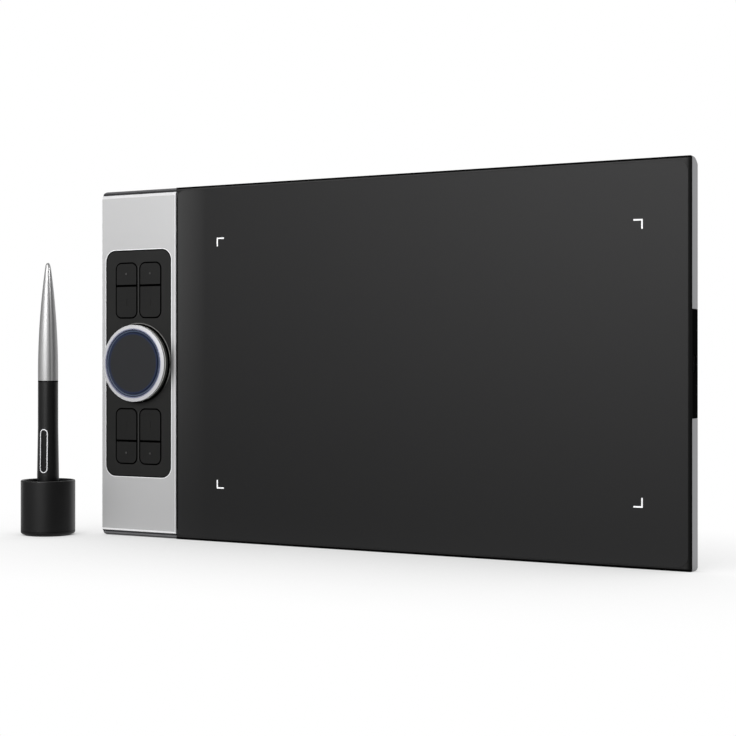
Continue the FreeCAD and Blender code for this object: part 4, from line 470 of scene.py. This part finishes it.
# %% [markdown]
# ## The keys and their pads
#
# A key is a smoother moulding than the panel, with a dot raised for the fingertip that gets a
# painted highlight, and its edges roll away into the gap, where they get painted shade. The
# silicone pad behind it is grey, and through the gap between two keys it would show as a grey
# line, so the pad has painted shade along that line too.

# %% Key plastic and pad rubber
KEY_RISE = 0.15 * MM
KEY_FRONT = PANEL_FRONT - KEY_RISE
KEY_EDGE = 0.35 * MM
DOT_RISE = 0.2 * MM
PAD_COLOUR = (0.055, 0.056, 0.06)


def key_gaps(finish):
    """Painted shade on a key's rolled edges, the split and its walls."""
    return (from_keys(finish) > -KEY_EDGE) | on_split(finish) | behind(finish, KEY_FRONT)


def key_dots(finish):
    """The raised dot stands higher than anything else on a key, and gets a painted highlight."""
    return along(finish, "Y") < KEY_FRONT - DOT_RISE


def rubber(name, colour, rough, depth, gaps=None):
    """Silicone, moulded like the plastic but coarser and duller."""
    return matte_plastic(name, colour, rough, 2600.0, depth, 0.3, gaps=gaps)


# The lighter colour is the painted highlight on the dot.
key_black = matte_plastic("key_black", (0.0085, 0.0085, 0.0083), 0.44, 5200.0, 0.000008,
                          gaps=key_gaps, highlights=key_dots, highlight_colour=(0.045, 0.045, 0.044))
rubber_black = rubber("rubber_black", (0.016, 0.016, 0.017), 0.72, 0.00003)
rubber_grey = rubber("rubber_grey", PAD_COLOUR, 0.68, 0.00002)
# The pad gets painted shade where the keys split.
pad_grey = rubber("pad_grey", PAD_COLOUR, 0.68, 0.00002, gaps=on_split)
print("key finishes:", key_black.name, rubber_black.name, rubber_grey.name, pad_grey.name)

# %% [markdown]
# ## The frame's rim and the pen's grip
#
# The frame round the sheet is the same plastic. Along its top a thin line shines where the bevel
# begins, and its outermost line turns away from the light. The pen's grip ends in a shadow line
# where the tail is pushed on. The bevel is in the CAD piece, but with a sharp edge, and a real
# edge has a small radius. Rounding it takes many faces for a line less than a millimetre wide, so
# a mask draws the line as a painted highlight, and the outermost line and the grip's shadow line
# are painted shade.

# %% Rim and grip plastic
RIGHT_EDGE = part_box("front_frame")[1][0]
GRIP_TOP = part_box("pen_grip")[1][2]
GLINT = (1.0 * MM, 1.8 * MM)
RIM_TOP = 1.0 * MM
RIM_FOOT = 1.2 * MM
RIM_RIGHT_START = 3.4 * MM
RIM_RIGHT_END = 0.6 * MM
RIM_RIGHT_SHARE = 0.8
GRIP_LINE = 0.7 * MM


def rim_glint(finish):
    """A painted highlight on the line where the rim's bevel begins, along the top."""
    return band(HEIGHT - along(finish, "Z"), *GLINT)


def rim_outline(finish):
    """Painted shade on the outermost line of the rim, top and foot, growing on the right where the
    rim turns away from the light.
    """
    height = along(finish, "Z")
    right = finish.ramp(along(finish, "X"), RIGHT_EDGE - RIM_RIGHT_START,
                        RIGHT_EDGE - RIM_RIGHT_END, 0.0, RIM_RIGHT_SHARE)
    return (height > HEIGHT - RIM_TOP) | (height < RIM_FOOT) | right


def grip_end(finish):
    """The shadow line where the grip meets the tail."""
    return along(finish, "Z") > GRIP_TOP - GRIP_LINE


# The lighter colour is the painted highlight along the top.
rim_black = matte_plastic("rim_black", (0.0125, 0.0125, 0.0125), 0.46, gaps=rim_outline,
                          highlights=rim_glint, highlight_colour=(0.024, 0.024, 0.024))
pen_black = matte_plastic("pen_black", (0.0022, 0.0022, 0.0023), 0.38, 6000.0, 0.00001, 0.35,
                          gaps=grip_end)
print("grip ends at z:", round(GRIP_TOP, 4))

# %% [markdown]
# ## The drawing sheet
#
# The sheet is a film with a paper-like tooth, so that the nib drags a little. Under soft light
# that tooth spreads every reflection wide, and the sheet looks dark grey at the top, where it
# mirrors the bright part of the room, and nearly black at the bottom. Fine noise in the bump does
# that by itself. At its left the sheet rolls away to the strip. The roll is too shallow to catch
# the light on its own, so a painted highlight on the colour shows it, weaker towards the foot, and
# it ends in a painted shadow at the seam.

# %% Drawing sheet
SHEET_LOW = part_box("work_surface")[0]
SEAM_SHADOW = 0.9 * MM
ROLL_START = 21 * MM
ROLL_FULL = 2 * MM
ROLL_AT_FOOT = 0.15
TOOTH_DEPTH = 0.000007


def paper_film():
    finish = Finish("drawing_sheet")
    tooth = finish.noise(7400.0, 3.0, 0.65)
    cloud = finish.noise(24.0, 2.0)
    from_strip = along(finish, "X") - SHEET_LOW[0]
    # A painted highlight where the sheet rolls away, weaker towards the foot.
    roll_highlight = finish.ramp(from_strip, ROLL_START, ROLL_FULL, curve="LINEAR")
    roll_highlight = roll_highlight * finish.ramp(along(finish, "Z"), 0.0, HEIGHT, ROLL_AT_FOOT, 1.0)
    colour = finish.between(cloud, (0.0024, 0.0024, 0.0026), (0.0029, 0.0029, 0.0032))
    colour = finish.between(roll_highlight, colour, (0.026, 0.026, 0.026))
    return finish.surface(base_color=colour, roughness=0.52 + (tooth - 0.5) * 0.10,
                          specular_ior_level=0.27, normal=finish.bump(tooth, TOOTH_DEPTH),
                          dark=from_strip < SEAM_SHADOW)


drawing_sheet = paper_film()
print("sheet starts at x:", round(SHEET_LOW[0], 4))

# %% [markdown]
# ## The dial
#
# The dial's ring is turned from aluminium, so its marks are circles about the dial's axis. The
# distance from that axis drives a fine wave for the bump, and a painted tinge of blue at the inner
# rim, where the light ring shines on it. The depth from the front gives the wall a bright line, a
# painted highlight, and a painted shadow at its foot. Circles about an axis stay in place while
# the ring turns, so these painted marks stay right at every pose, which a highlight painted on one
# side wouldn't.


# %% Distance from the dial's axis
def from_dial_axis(finish):
    flat = finish.place(shift=(-DIAL_X, 0, -DIAL_Z))
    squeezed = finish.node("ShaderNodeVectorMath", {"operation": "MULTIPLY"},
                           {"0": flat, "1": (1.0, 0.0, 1.0)})
    return finish.node("ShaderNodeVectorMath", {"operation": "LENGTH"}, {"0": squeezed},
                       out="Value")


# %% Turned ring
TURNING_WAVE = 52000.0
TURNING_DEPTH = 0.0000015
BLUE_RIM = (20.4 * MM, 19.9 * MM)
WALL_START = 0.9 * MM
WALL_LINE = (1.5 * MM, 2.3 * MM)
WALL_FOOT = 2.4 * MM


def turned_metal():
    finish = Finish("turned_ring")
    radius = from_dial_axis(finish)
    turning = (radius * TURNING_WAVE).math("SINE")
    speck = finish.noise(2600.0, 2.0)
    depth = along(finish, "Y") - DIAL_LOW[1]
    # Painted: a blue tinge from the light ring at the inner rim, a highlight line on the wall and
    # shade at its foot.
    colour = finish.between(finish.ramp(radius, *BLUE_RIM), (0.43, 0.43, 0.445),
                            (0.15, 0.16, 0.24))
    colour = finish.between(depth > WALL_START, colour, (0.40, 0.40, 0.38))
    colour = finish.between(band(depth, *WALL_LINE), colour, (0.85, 0.85, 0.82))
    colour = finish.between(depth > WALL_FOOT, colour, (0.05, 0.05, 0.045))
    return finish.surface(base_color=colour, metallic=0.15, roughness=0.46 + speck * 0.10,
                          normal=finish.bump(turning, TURNING_DEPTH))


turned_ring = turned_metal()
print("turned ring across:", round((DIAL_HIGH[0] - DIAL_LOW[0]) / MM, 1), "mm")

# %% [markdown]
# ## Light ring and touch disc
#
# Inside the ring lies a clear diffuser that glows very faintly, with one brighter line painted
# into its colour as a highlight, and inside that a fixed disc of smoked plastic whose edge is
# painted navy for the light ring's glow on it. A lamp behind the diffuser would be truer, but so
# faint a glow lights nothing else, so a little emission does.

# %% Light ring and touch disc
GLOW_LINE = (18.35 * MM, 18.9 * MM)
GLOW_STRENGTH = 0.006
DISC_EDGE = (16.0 * MM, 17.6 * MM)


def diffuser():
    finish = Finish("light_ring")
    # The brighter line is a painted highlight.
    line = band(from_dial_axis(finish), *GLOW_LINE)
    flow = finish.noise(90.0, 2.0)
    return finish.surface(
        base_color=finish.between(line, (0.008, 0.012, 0.026), (0.05, 0.065, 0.10)),
        roughness=0.24 + flow * 0.1, specular_ior_level=0.2,
        emission_color=(0.30, 0.45, 0.80), emission_strength=GLOW_STRENGTH)


def smoked_plastic():
    finish = Finish("touch_disc")
    # The navy edge is painted light from the light ring.
    edge = finish.ramp(from_dial_axis(finish), *DISC_EDGE)
    grain = finish.noise(5200.0, 2.0)
    return finish.surface(
        base_color=finish.between(edge, (0.016, 0.0165, 0.018), (0.010, 0.017, 0.046)),
        roughness=0.44 + (grain - 0.5) * 0.1, specular_ior_level=0.14,
        normal=finish.bump(grain, 0.000006))


light_ring = diffuser()
touch_disc = smoked_plastic()
print("inside the dial:", light_ring.name, touch_disc.name)

# %% [markdown]
# ## Small metal parts and boards
#
# Steel, copper, ferrite, the chrome line on the pen and the circuit boards are all small or
# hidden, but each has the texture of its making: drawn steel has streaks, a winding has
# threads, and a board has its tracks under green lacquer. One noise makes all the metals,
# stretched along an axis where the metal was drawn or wound, and a brick pattern is near
# enough to tracks at this size.


# %% Metals
def streaked_metal(name, colour, rough, stretch, depth=0.000003, metallic=1.0):
    finish = Finish(name)
    streak = finish.noise(1.0, 2.0, 0.6, where=finish.place(scale=stretch))
    return finish.surface(base_color=finish.between(streak, shaded(colour, 0.9), colour),
                          metallic=metallic, roughness=rough + streak * 0.12,
                          normal=finish.bump(streak, depth))


steel = streaked_metal("drawn_steel", (0.58, 0.58, 0.60), 0.24, (400.0, 4000.0, 4000.0))
black_steel = streaked_metal("blackened_steel", (0.045, 0.045, 0.048), 0.34, (3000.0,) * 3)
chrome = streaked_metal("polished_line", (0.86, 0.86, 0.88), 0.26, (2500.0,) * 3, 0.000001, 0.4)
ferrite = streaked_metal("pressed_ferrite", (0.10, 0.10, 0.11), 0.48, (2500.0,) * 3, 0.00001)
copper = streaked_metal("wound_copper", (0.80, 0.42, 0.24), 0.22, (300.0, 300.0, 9000.0), 0.00003)
print("metals:", steel.name, black_steel.name, chrome.name, ferrite.name, copper.name)


# %% Circuit board
def circuit_board():
    finish = Finish("circuit_board")
    tracks = finish.node("ShaderNodeTexBrick", {"offset": 0.5},
                         {"Vector": finish.place(turn=(math.pi / 2, 0, 0)),
                          "Scale": 120.0, "Mortar Size": 0.06, "Mortar Smooth": 0.1}, out="Fac")
    return finish.surface(
        base_color=finish.between(tracks, (0.008, 0.055, 0.024), (0.020, 0.105, 0.045)),
        roughness=0.30 + tracks * 0.06, normal=finish.bump(tracks, 0.00002))


board_green = circuit_board()
print("board finish:", board_green.name)

# %% [markdown]
# ## The pen's tail
#
# The tail is sprayed with metal flake paint over a long shallow facet, which meets the round side
# in a soft crease. The crease runs down the pen at one angle, so the angle round the pen is what
# the finish measures: it tilts the normal over the facet and paints shade into the crease. Cut as
# real faces the facet would show a hard edge, and the real one has none.

# %% Pen tail
PEN_LOW, PEN_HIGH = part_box("pen_grip")
PEN_X = (PEN_LOW[0] + PEN_HIGH[0]) / 2
PEN_Y = (PEN_LOW[1] + PEN_HIGH[1]) / 2
CREASE_ANGLE = math.radians(-37.6)
CREASE_HALF = math.radians(2.6)
CREASE_STRENGTH = 0.6
FACET_RISE = 0.45 * MM
FACET_RAMP = math.radians(24)
FACET_RETURN = (math.radians(200), math.radians(60))


def from_crease(finish):
    """The angle round the pen, from the crease that runs down its tail."""
    turned = (along(finish, "Y") - PEN_Y).math("ARCTAN2", along(finish, "X") - PEN_X)
    return turned - CREASE_ANGLE


def flake_paint(name, colour):
    finish = Finish(name)
    angle = from_crease(finish)
    facet = finish.ramp(angle, 0.0, FACET_RAMP) * finish.ramp(angle, *FACET_RETURN)
    crease = abs(angle) < CREASE_HALF
    flakes = finish.node("ShaderNodeTexVoronoi", None,
                         {"Vector": finish.place(), "Scale": 5200.0}, out="Color")
    spread = finish.node("ShaderNodeSeparateColor", None, {"Color": flakes})
    tint = finish.between(spread, shaded(colour, 0.88), colour)
    return finish.surface(
        # The crease gets a painted shade.
        base_color=finish.between(crease * CREASE_STRENGTH, tint, (0.08, 0.08, 0.08)),
        metallic=0.8, roughness=0.40 + spread * 0.12,
        normal=finish.bump(spread, 0.0000025, normal=finish.bump(facet, FACET_RISE)))


pen_silver = flake_paint("silver_paint", (0.40, 0.40, 0.40))
print("pen axis at x, y:", round(PEN_X, 4), round(PEN_Y, 4))

# %% [markdown]
# ## Dressing the CAD pieces
#
# A CAD piece keeps its shape and gets one of the finishes above. One table from finish to
# pieces shows at a glance what is made of what, and what is left over is printed.

# %% Finishes by piece
FINISHES = {
    silver: ["strip_cover"],
    tray_silver: ["back_cover"],
    rim_black: ["front_frame"],
    port_black: ["port_block"],
    housing_black: ["control_panel"],
    drawing_sheet: ["work_surface"],
    turned_ring: ["dial_ring"],
    light_ring: ["light_ring"],
    touch_disc: ["touch_disc"],
    key_black: [f"key_{number}" for number in range(1, 9)],
    rocker_black: ["pen_rocker"],
    stand_black: ["stand_cup", "stand_base"],
    pen_black: ["pen_grip", "pen_nose"],
    pen_silver: ["pen_tail"],
    chrome: ["pen_bezel"],
    rubber_black: ["rubber_feet", "stand_foot"],
    rubber_grey: ["stand_liner"],
    pad_grey: ["lower_key_pad", "upper_key_pad"],
    nib_black: ["pen_nib", "spare_nibs"],
    chip_black: ["dial_rotor", "dial_hub", "key_switches", "control_board_plugs",
                 "main_board_parts", "pen_switches", "pen_pressure_sensor"],
    board_green: ["control_board", "main_board", "sensor_board", "touch_board", "pen_board"],
    film_white: ["control_ribbon", "sensor_ribbon", "touch_ribbon"],
    steel: ["usb_c_receptacle", "control_board_screws", "main_board_screws", "hub_nut",
            "magnet_ring", "detent_spring", "shield_plate", "pen_rocker_pin"],
    black_steel: ["cover_screws"],
    ferrite: ["pen_ferrite"],
    copper: ["pen_coil"],
}
dressed = set()
for material, names in FINISHES.items():
    for name in names:
        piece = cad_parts[name]
        piece.data.materials.clear()
        piece.data.materials.append(material)
        dressed.add(name)
print("pieces without a finish:", sorted(set(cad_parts) - dressed))

# %% [markdown]
# ## Corner marks
#
# Four small white angles are printed on the sheet, at the corners of the area where the pen
# works. A mask in the sheet's finish could draw them, but a real print lies on top of the film.
# So each is a thin flat mesh a hair above it, and looks the same from every side.

# %% Corner marks
print_white = matte_plastic("print_white", (0.78, 0.78, 0.79), 0.5, 3000.0, 0.000003)
MARK_X = (82.5 * MM, 337.0 * MM)
MARK_Z = (30.0 * MM, 171.3 * MM)
MARK_ARM = 4.9 * MM
MARK_LINE = 0.8 * MM
MARK_THICKNESS = 0.03 * MM
ANGLE_OUTLINE = [(0, 0), (MARK_ARM, 0), (MARK_ARM, MARK_LINE), (MARK_LINE, MARK_LINE),
                 (MARK_LINE, MARK_ARM), (0, MARK_ARM)]


def add_plate(mesh, corners, front):
    """A thin plate with the given outline in x and z, from the sheet's front outwards."""
    near = [mesh.verts.new((x, front - MARK_THICKNESS, z)) for x, z in corners]
    far = [mesh.verts.new((x, front, z)) for x, z in corners]
    mesh.faces.new(near)
    mesh.faces.new(list(reversed(far)))
    for index in range(len(near)):
        after = (index + 1) % len(near)
        mesh.faces.new((near[index], far[index], far[after], near[after]))


def mesh_object(name, mesh):
    """Turns a bmesh into an object in the scene."""
    data = bpy.data.meshes.new(name)
    mesh.to_mesh(data)
    mesh.free()
    piece = bpy.data.objects.new(name, data)
    bpy.context.scene.collection.objects.link(piece)
    return piece


# %% Four marks in one piece
marks_mesh = bmesh.new()
for mark_x, inward_x in zip(MARK_X, (1, -1)):
    for mark_z, inward_z in zip(MARK_Z, (1, -1)):
        mark_corners = [(STRIP_LEFT + mark_x + inward_x * dx, mark_z + inward_z * dz)
                        for dx, dz in ANGLE_OUTLINE]
        add_plate(marks_mesh, mark_corners, SHEET_LOW[1])
bmesh.ops.recalc_face_normals(marks_mesh, faces=marks_mesh.faces)
marks = mesh_object("corner_marks", marks_mesh)
marks.data.materials.append(print_white)
print("faces in the corner marks:", len(marks.data.polygons))
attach(marks, "tablet")

# %% [markdown]
# ## Cover screws
#
# Ten small black screws hold the tray from behind, four in the strip and six in the frame. A
# screw is a shank, a chamfered head and a cross cut into it, and every one is the same. Copies
# could be placed by hand, but here one is built from primitives and booleans in Geometry Nodes
# and put on ten points. Nobody stops a screwdriver at the same angle twice, so each gets its
# own turn from a seeded random value.

# %% Screw places
SCREW_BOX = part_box("cover_screws")
HEAD_RADIUS = 1.9 * MM
FRAME_ROW_INSET = SCREW_BOX[0][2] + HEAD_RADIUS
STRIP_ROW_INSET = 12.0 * MM
STRIP_SCREWS_X = (-169.0 * MM, -139.4 * MM)
FRAME_SCREWS_X = (-115.6 * MM, 26.7 * MM, 169.0 * MM)
HEAD_TOP = SCREW_BOX[1][1]


def screw_rows(columns, inset):
    """Points in two rows, one at each long edge."""
    return [(x, HEAD_TOP, z) for x in columns for z in (inset, HEIGHT - inset)]


screw_places = (screw_rows(STRIP_SCREWS_X, STRIP_ROW_INSET)
                + screw_rows(FRAME_SCREWS_X, FRAME_ROW_INSET))
print("cover screws:", len(screw_places))


# %% A tree for shapes
class ShapeTree(Finish):
    """A Geometry Nodes tree with named sizes, written with the same helpers as a material."""

    def __init__(self, name, sizes):
        self.tree = bpy.data.node_groups.new(name, "GeometryNodeTree")
        face = self.tree.interface
        face.new_socket("Geometry", in_out="INPUT", socket_type="NodeSocketGeometry")
        face.new_socket("Geometry", in_out="OUTPUT", socket_type="NodeSocketGeometry")
        self.sizes = sizes
        self.keys = {}
        for label in sizes:
            socket = face.new_socket(label, in_out="INPUT", socket_type="NodeSocketFloat")
            self.keys[label] = socket.identifier
        self.start = self.tree.nodes.new("NodeGroupInput")

    def given(self, label):
        return Value(self, self.start.outputs[label])

    def vector(self, x=0.0, y=0.0, z=0.0):
        return self.node("ShaderNodeCombineXYZ", None, {"X": x, "Y": y, "Z": z})

    def moved(self, shape, place):
        return self.node("GeometryNodeTransform", None, {"Geometry": shape, "Translation": place})

    def cylinder(self, sides, radius, depth, centre):
        shape = self.node("GeometryNodeMeshCylinder", None,
                          {"Vertices": sides, "Radius": radius, "Depth": depth})
        return self.moved(shape, self.vector(z=centre))

    def cone(self, sides, bottom, top, depth, foot):
        shape = self.node("GeometryNodeMeshCone", None,
                          {"Vertices": sides, "Radius Bottom": bottom, "Radius Top": top,
                           "Depth": depth})
        return self.moved(shape, self.vector(z=foot))

    def finish_with(self, shape, material):
        real = self.node("GeometryNodeRealizeInstances", None, {"Geometry": shape})
        painted = self.node("GeometryNodeSetMaterial", None,
                            {"Geometry": real, "Material": material})
        end = self.tree.nodes.new("NodeGroupOutput")
        self.tree.links.new(painted.socket, end.inputs["Geometry"])

    def grow(self, name, points):
        """Runs the tree on points and gives back a plain mesh object."""
        data = bpy.data.meshes.new(name)
        data.from_pydata(points, [], [])
        shape = bpy.data.objects.new(name, data)
        bpy.context.scene.collection.objects.link(shape)
        modifier = shape.modifiers.new("shape", "NODES")
        modifier.node_group = self.tree
        for label, size in self.sizes.items():
            modifier[self.keys[label]] = size
        seen = shape.evaluated_get(bpy.context.evaluated_depsgraph_get())
        plain = bpy.data.meshes.new_from_object(seen)
        shape.modifiers.clear()
        shape.data = plain
        return shape


# %% Sizes of a screw
SCREW_SEED = 7
HEAD_SIDES = 40
SHANK_SIDES = 28
CORE_SIDES = 16
CORE_TIP = 0.3
CORE_MOUTH = 1.25
CORE_DEPTH = 1.2
CORE_SINK = 1.19
screw_tree = ShapeTree("cross_screw", {
    "Head Radius": HEAD_RADIUS,
    "Head Height": 0.62 * MM,
    "Chamfer": 0.16 * MM,
    "Shank Radius": 1.0 * MM,
    "Length": HEAD_TOP - SCREW_BOX[0][1],
    "Cross Length": 2.0 * MM,
    "Cross Width": 0.44 * MM,
    "Cross Depth": 0.42 * MM,
})
print("sizes of a screw:", ", ".join(screw_tree.sizes))


# %% Head, shank and cross
def screw_blank(tree):
    """A head with a chamfer and a shank that reaches up into it, all below zero."""
    radius = tree.given("Head Radius")
    height = tree.given("Head Height")
    chamfer = tree.given("Chamfer")
    length = tree.given("Length")
    disc = tree.cylinder(HEAD_SIDES, radius, height - chamfer, (height + chamfer) * -0.5)
    crown = tree.cone(HEAD_SIDES, radius, radius - chamfer, chamfer, chamfer * -1)
    shank = tree.cylinder(SHANK_SIDES, tree.given("Shank Radius"), length - height * 0.5,
                          (length + height * 0.5) * -0.5)
    return tree.node("GeometryNodeMeshBoolean", {"operation": "UNION", "solver": "EXACT"},
                     {"1": [disc, crown, shank]})


def cross_cutters(tree):
    """Two bars across each other, and a cone that widens the cross at its middle."""
    reach = tree.given("Cross Length")
    width = tree.given("Cross Width")
    cut = tree.given("Cross Depth")
    bars = [tree.node("GeometryNodeMeshCube", None, {"Size": tree.vector(*spans)})
            for spans in ((reach, width, cut * 2), (width, reach, cut * 2))]
    core = tree.cone(CORE_SIDES, width * CORE_TIP, width * CORE_MOUTH, cut * CORE_DEPTH,
                     cut * -CORE_SINK)
    return bars + [core]


# %% One screw, ten times
screw = screw_tree.node("GeometryNodeMeshBoolean", {"operation": "DIFFERENCE", "solver": "EXACT"},
                        {"0": screw_blank(screw_tree), "1": cross_cutters(screw_tree)})
screw_turn = screw_tree.node("FunctionNodeRandomValue", {"data_type": "FLOAT"},
                             {"2": 0.0, "3": math.pi / 2, "8": SCREW_SEED}, out=1)
placed = screw_tree.node("GeometryNodeInstanceOnPoints", None,
                         {"Points": screw_tree.given("Geometry"), "Instance": screw,
                          "Rotation": screw_tree.vector(x=-math.pi / 2, y=screw_turn)})
screw_tree.finish_with(placed, black_steel)
screw_set = screw_tree.grow("screw_set", screw_places)
print("faces in the screws:", len(screw_set.data.polygons))
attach(screw_set, "tablet")
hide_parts("cover_screws")

# %% [markdown]
# ## The white room
#
# The object stands on a white sweep. A real sweep needs so much light that pale metal would
# burn out, so the white comes from the kind of ray instead. The camera sees floor and
# background as plain white, and only the floor's soft shadow shows, from the share of open sky
# above each point. A mirror finds the room white behind the object and dim in front of it, as
# in a studio where the backdrop is lit and the rest isn't.

# %% Kinds of rays
ROOM_FRONT = 0.18
FLOOR_DIM_TO_BRIGHT = (-0.06, 0.04)
SKY_DIM_TO_BRIGHT = (0.15, 0.95)


def lit_room(finish, along_y, dim, bright):
    """How bright a mirror finds the room: white behind the object, dim in front of it."""
    return finish.ramp(along_y, dim, bright, ROOM_FRONT, 1.0)


def white_to_the_eye(finish):
    """Rays from the camera or through glass, and rays from a mirror: two flags."""
    rays = finish.tree.nodes.new("ShaderNodeLightPath")
    eye, mirror, glass = (Value(finish, rays.outputs[f"Is {kind} Ray"])
                          for kind in ("Camera", "Glossy", "Transmission"))
    return eye | glass, mirror


# %% White floor
FLOOR_SIZE = 6.0
FLOOR_GREY = (0.52, 0.52, 0.52)
FLOOR_MIRRORED = 0.85
SHADE_REACH = 0.20
SHADE_DEPTH = 0.85
WHITE = (1, 1, 1)


def white_floor():
    finish = Finish("white_floor")
    eye, mirror = white_to_the_eye(finish)
    spot = finish.node("ShaderNodeNewGeometry", out="Position")
    along_y = finish.node("ShaderNodeSeparateXYZ", None, {"Vector": spot}, out="Y")
    paper = finish.noise(14.0, 2.0)
    grey = finish.between(paper, (0.79, 0.79, 0.79), (0.81, 0.81, 0.81))
    lit = finish.node("ShaderNodeBsdfDiffuse", None,
                      {"Color": finish.between(eye, grey, FLOOR_GREY)})
    strength = eye | (mirror * lit_room(finish, along_y, *FLOOR_DIM_TO_BRIGHT))
    glow = finish.node("ShaderNodeEmission", None, {"Color": WHITE, "Strength": strength})
    free = finish.node("ShaderNodeAmbientOcclusion", {"samples": 8}, {"Distance": SHADE_REACH},
                       out="AO")
    white_share = ((free - 1.0) * SHADE_DEPTH + 1.0).math("MAXIMUM", 0.0)
    white = (eye * white_share) | (mirror * FLOOR_MIRRORED)
    finish.node_output(finish.node("ShaderNodeMixShader", None, {"0": white, "1": lit, "2": glow}))
    return finish.material


floor_mesh = bmesh.new()
bmesh.ops.create_grid(floor_mesh, x_segments=1, y_segments=1, size=FLOOR_SIZE)
floor = mesh_object("floor", floor_mesh)
floor.data.materials.append(white_floor())
print("floor across:", 2 * FLOOR_SIZE, "m")

# %% [markdown]
# ## World and lamps
#
# The world is the same white room, seen past the floor's edge, with a low level of light for
# all that isn't a camera or a mirror ray. Three large lamps do the rest: one in front for the
# black parts, a weak one at the left and one overhead for the upper edges. They stay at a level
# where a colour renders about as it is written, so the part looks right in other light too.

# %% World
ROOM_LIGHT = 0.25


class Room(Finish):
    """The world, written with the same helpers as a material."""

    def __init__(self, name):
        self.world = bpy.data.worlds.new(name)
        self.world.use_nodes = True
        self.tree = self.world.node_tree
        self.tree.nodes.clear()

    def node_output(self, shader):
        output = self.tree.nodes.new("ShaderNodeOutputWorld")
        self.tree.links.new(shader.socket, output.inputs["Surface"])


def studio_world():
    room = Room("studio")
    way = room.node("ShaderNodeTexCoord", out="Generated")
    ahead = room.node("ShaderNodeSeparateXYZ", None, {"Vector": way}, out="Y")
    eye, mirror = white_to_the_eye(room)
    strength = eye | (mirror * lit_room(room, ahead, *SKY_DIM_TO_BRIGHT))
    plain = 1 - (eye + mirror)
    room.node_output(room.node("ShaderNodeBackground", None,
                               {"Color": WHITE, "Strength": strength + plain * ROOM_LIGHT}))
    return room.world


bpy.context.scene.world = studio_world()
print("world:", bpy.context.scene.world.name)


# %% Lamps
def area_lamp(name, place, target, size, power):
    data = bpy.data.lights.new(name, "AREA")
    data.shape = "RECTANGLE"
    data.size, data.size_y = size
    data.energy = power
    lamp = bpy.data.objects.new(name, data)
    lamp.location = place
    way = Vector(target) - Vector(place)
    lamp.rotation_euler = way.to_track_quat("-Z", "Y").to_euler()
    bpy.context.scene.collection.objects.link(lamp)
    print("lamp", name, "has", power, "W at", round(way.length, 2), "m")


area_lamp("front", place=(-0.105, -1.20, 0.59), target=(0.0, 0.0, 0.1), size=(0.9, 0.6),
          power=17.5)
area_lamp("left", place=(-0.79, -0.66, 0.32), target=(0.0, 0.0, 0.1), size=(0.7, 0.5),
          power=0.7)
area_lamp("overhead", place=(0.0, 0.25, 1.2), target=(0.0, 0.0, 0.08), size=(1.2, 0.7),
          power=5.0)

# %% [markdown]
# ## Camera
#
# The camera stands where the photograph was taken from. Its focal length and place were fitted
# to the picture's perspective, so they are written in the picture's own measures: a focal
# length in pixels and the row of the horizon. The camera is level, and a shift of the lens puts
# the horizon on its row, which keeps upright edges parallel where a tilt wouldn't.

# %% Camera
PHOTO_WIDTH = 736
FOCAL_PIXELS = 1722.0
HORIZON_ROW = 361.6
SENSOR = 36.0
CAMERA_PLACE = (0.466, -0.7985, 0.1015)
CAMERA_TURN = math.radians(30.4)
LEVEL = math.radians(90)
camera_data = bpy.data.cameras.new("camera")
camera_data.sensor_width = SENSOR
camera_data.lens = SENSOR * FOCAL_PIXELS / PHOTO_WIDTH
camera_data.shift_y = (HORIZON_ROW - PHOTO_WIDTH / 2) / PHOTO_WIDTH
camera = bpy.data.objects.new("camera", camera_data)
camera.location = CAMERA_PLACE
camera.rotation_euler = (LEVEL, 0, CAMERA_TURN)
bpy.context.scene.collection.objects.link(camera)
bpy.context.scene.camera = camera
bpy.context.scene.view_settings.view_transform = "Standard"
print("lens:", round(camera_data.lens, 1), "mm")
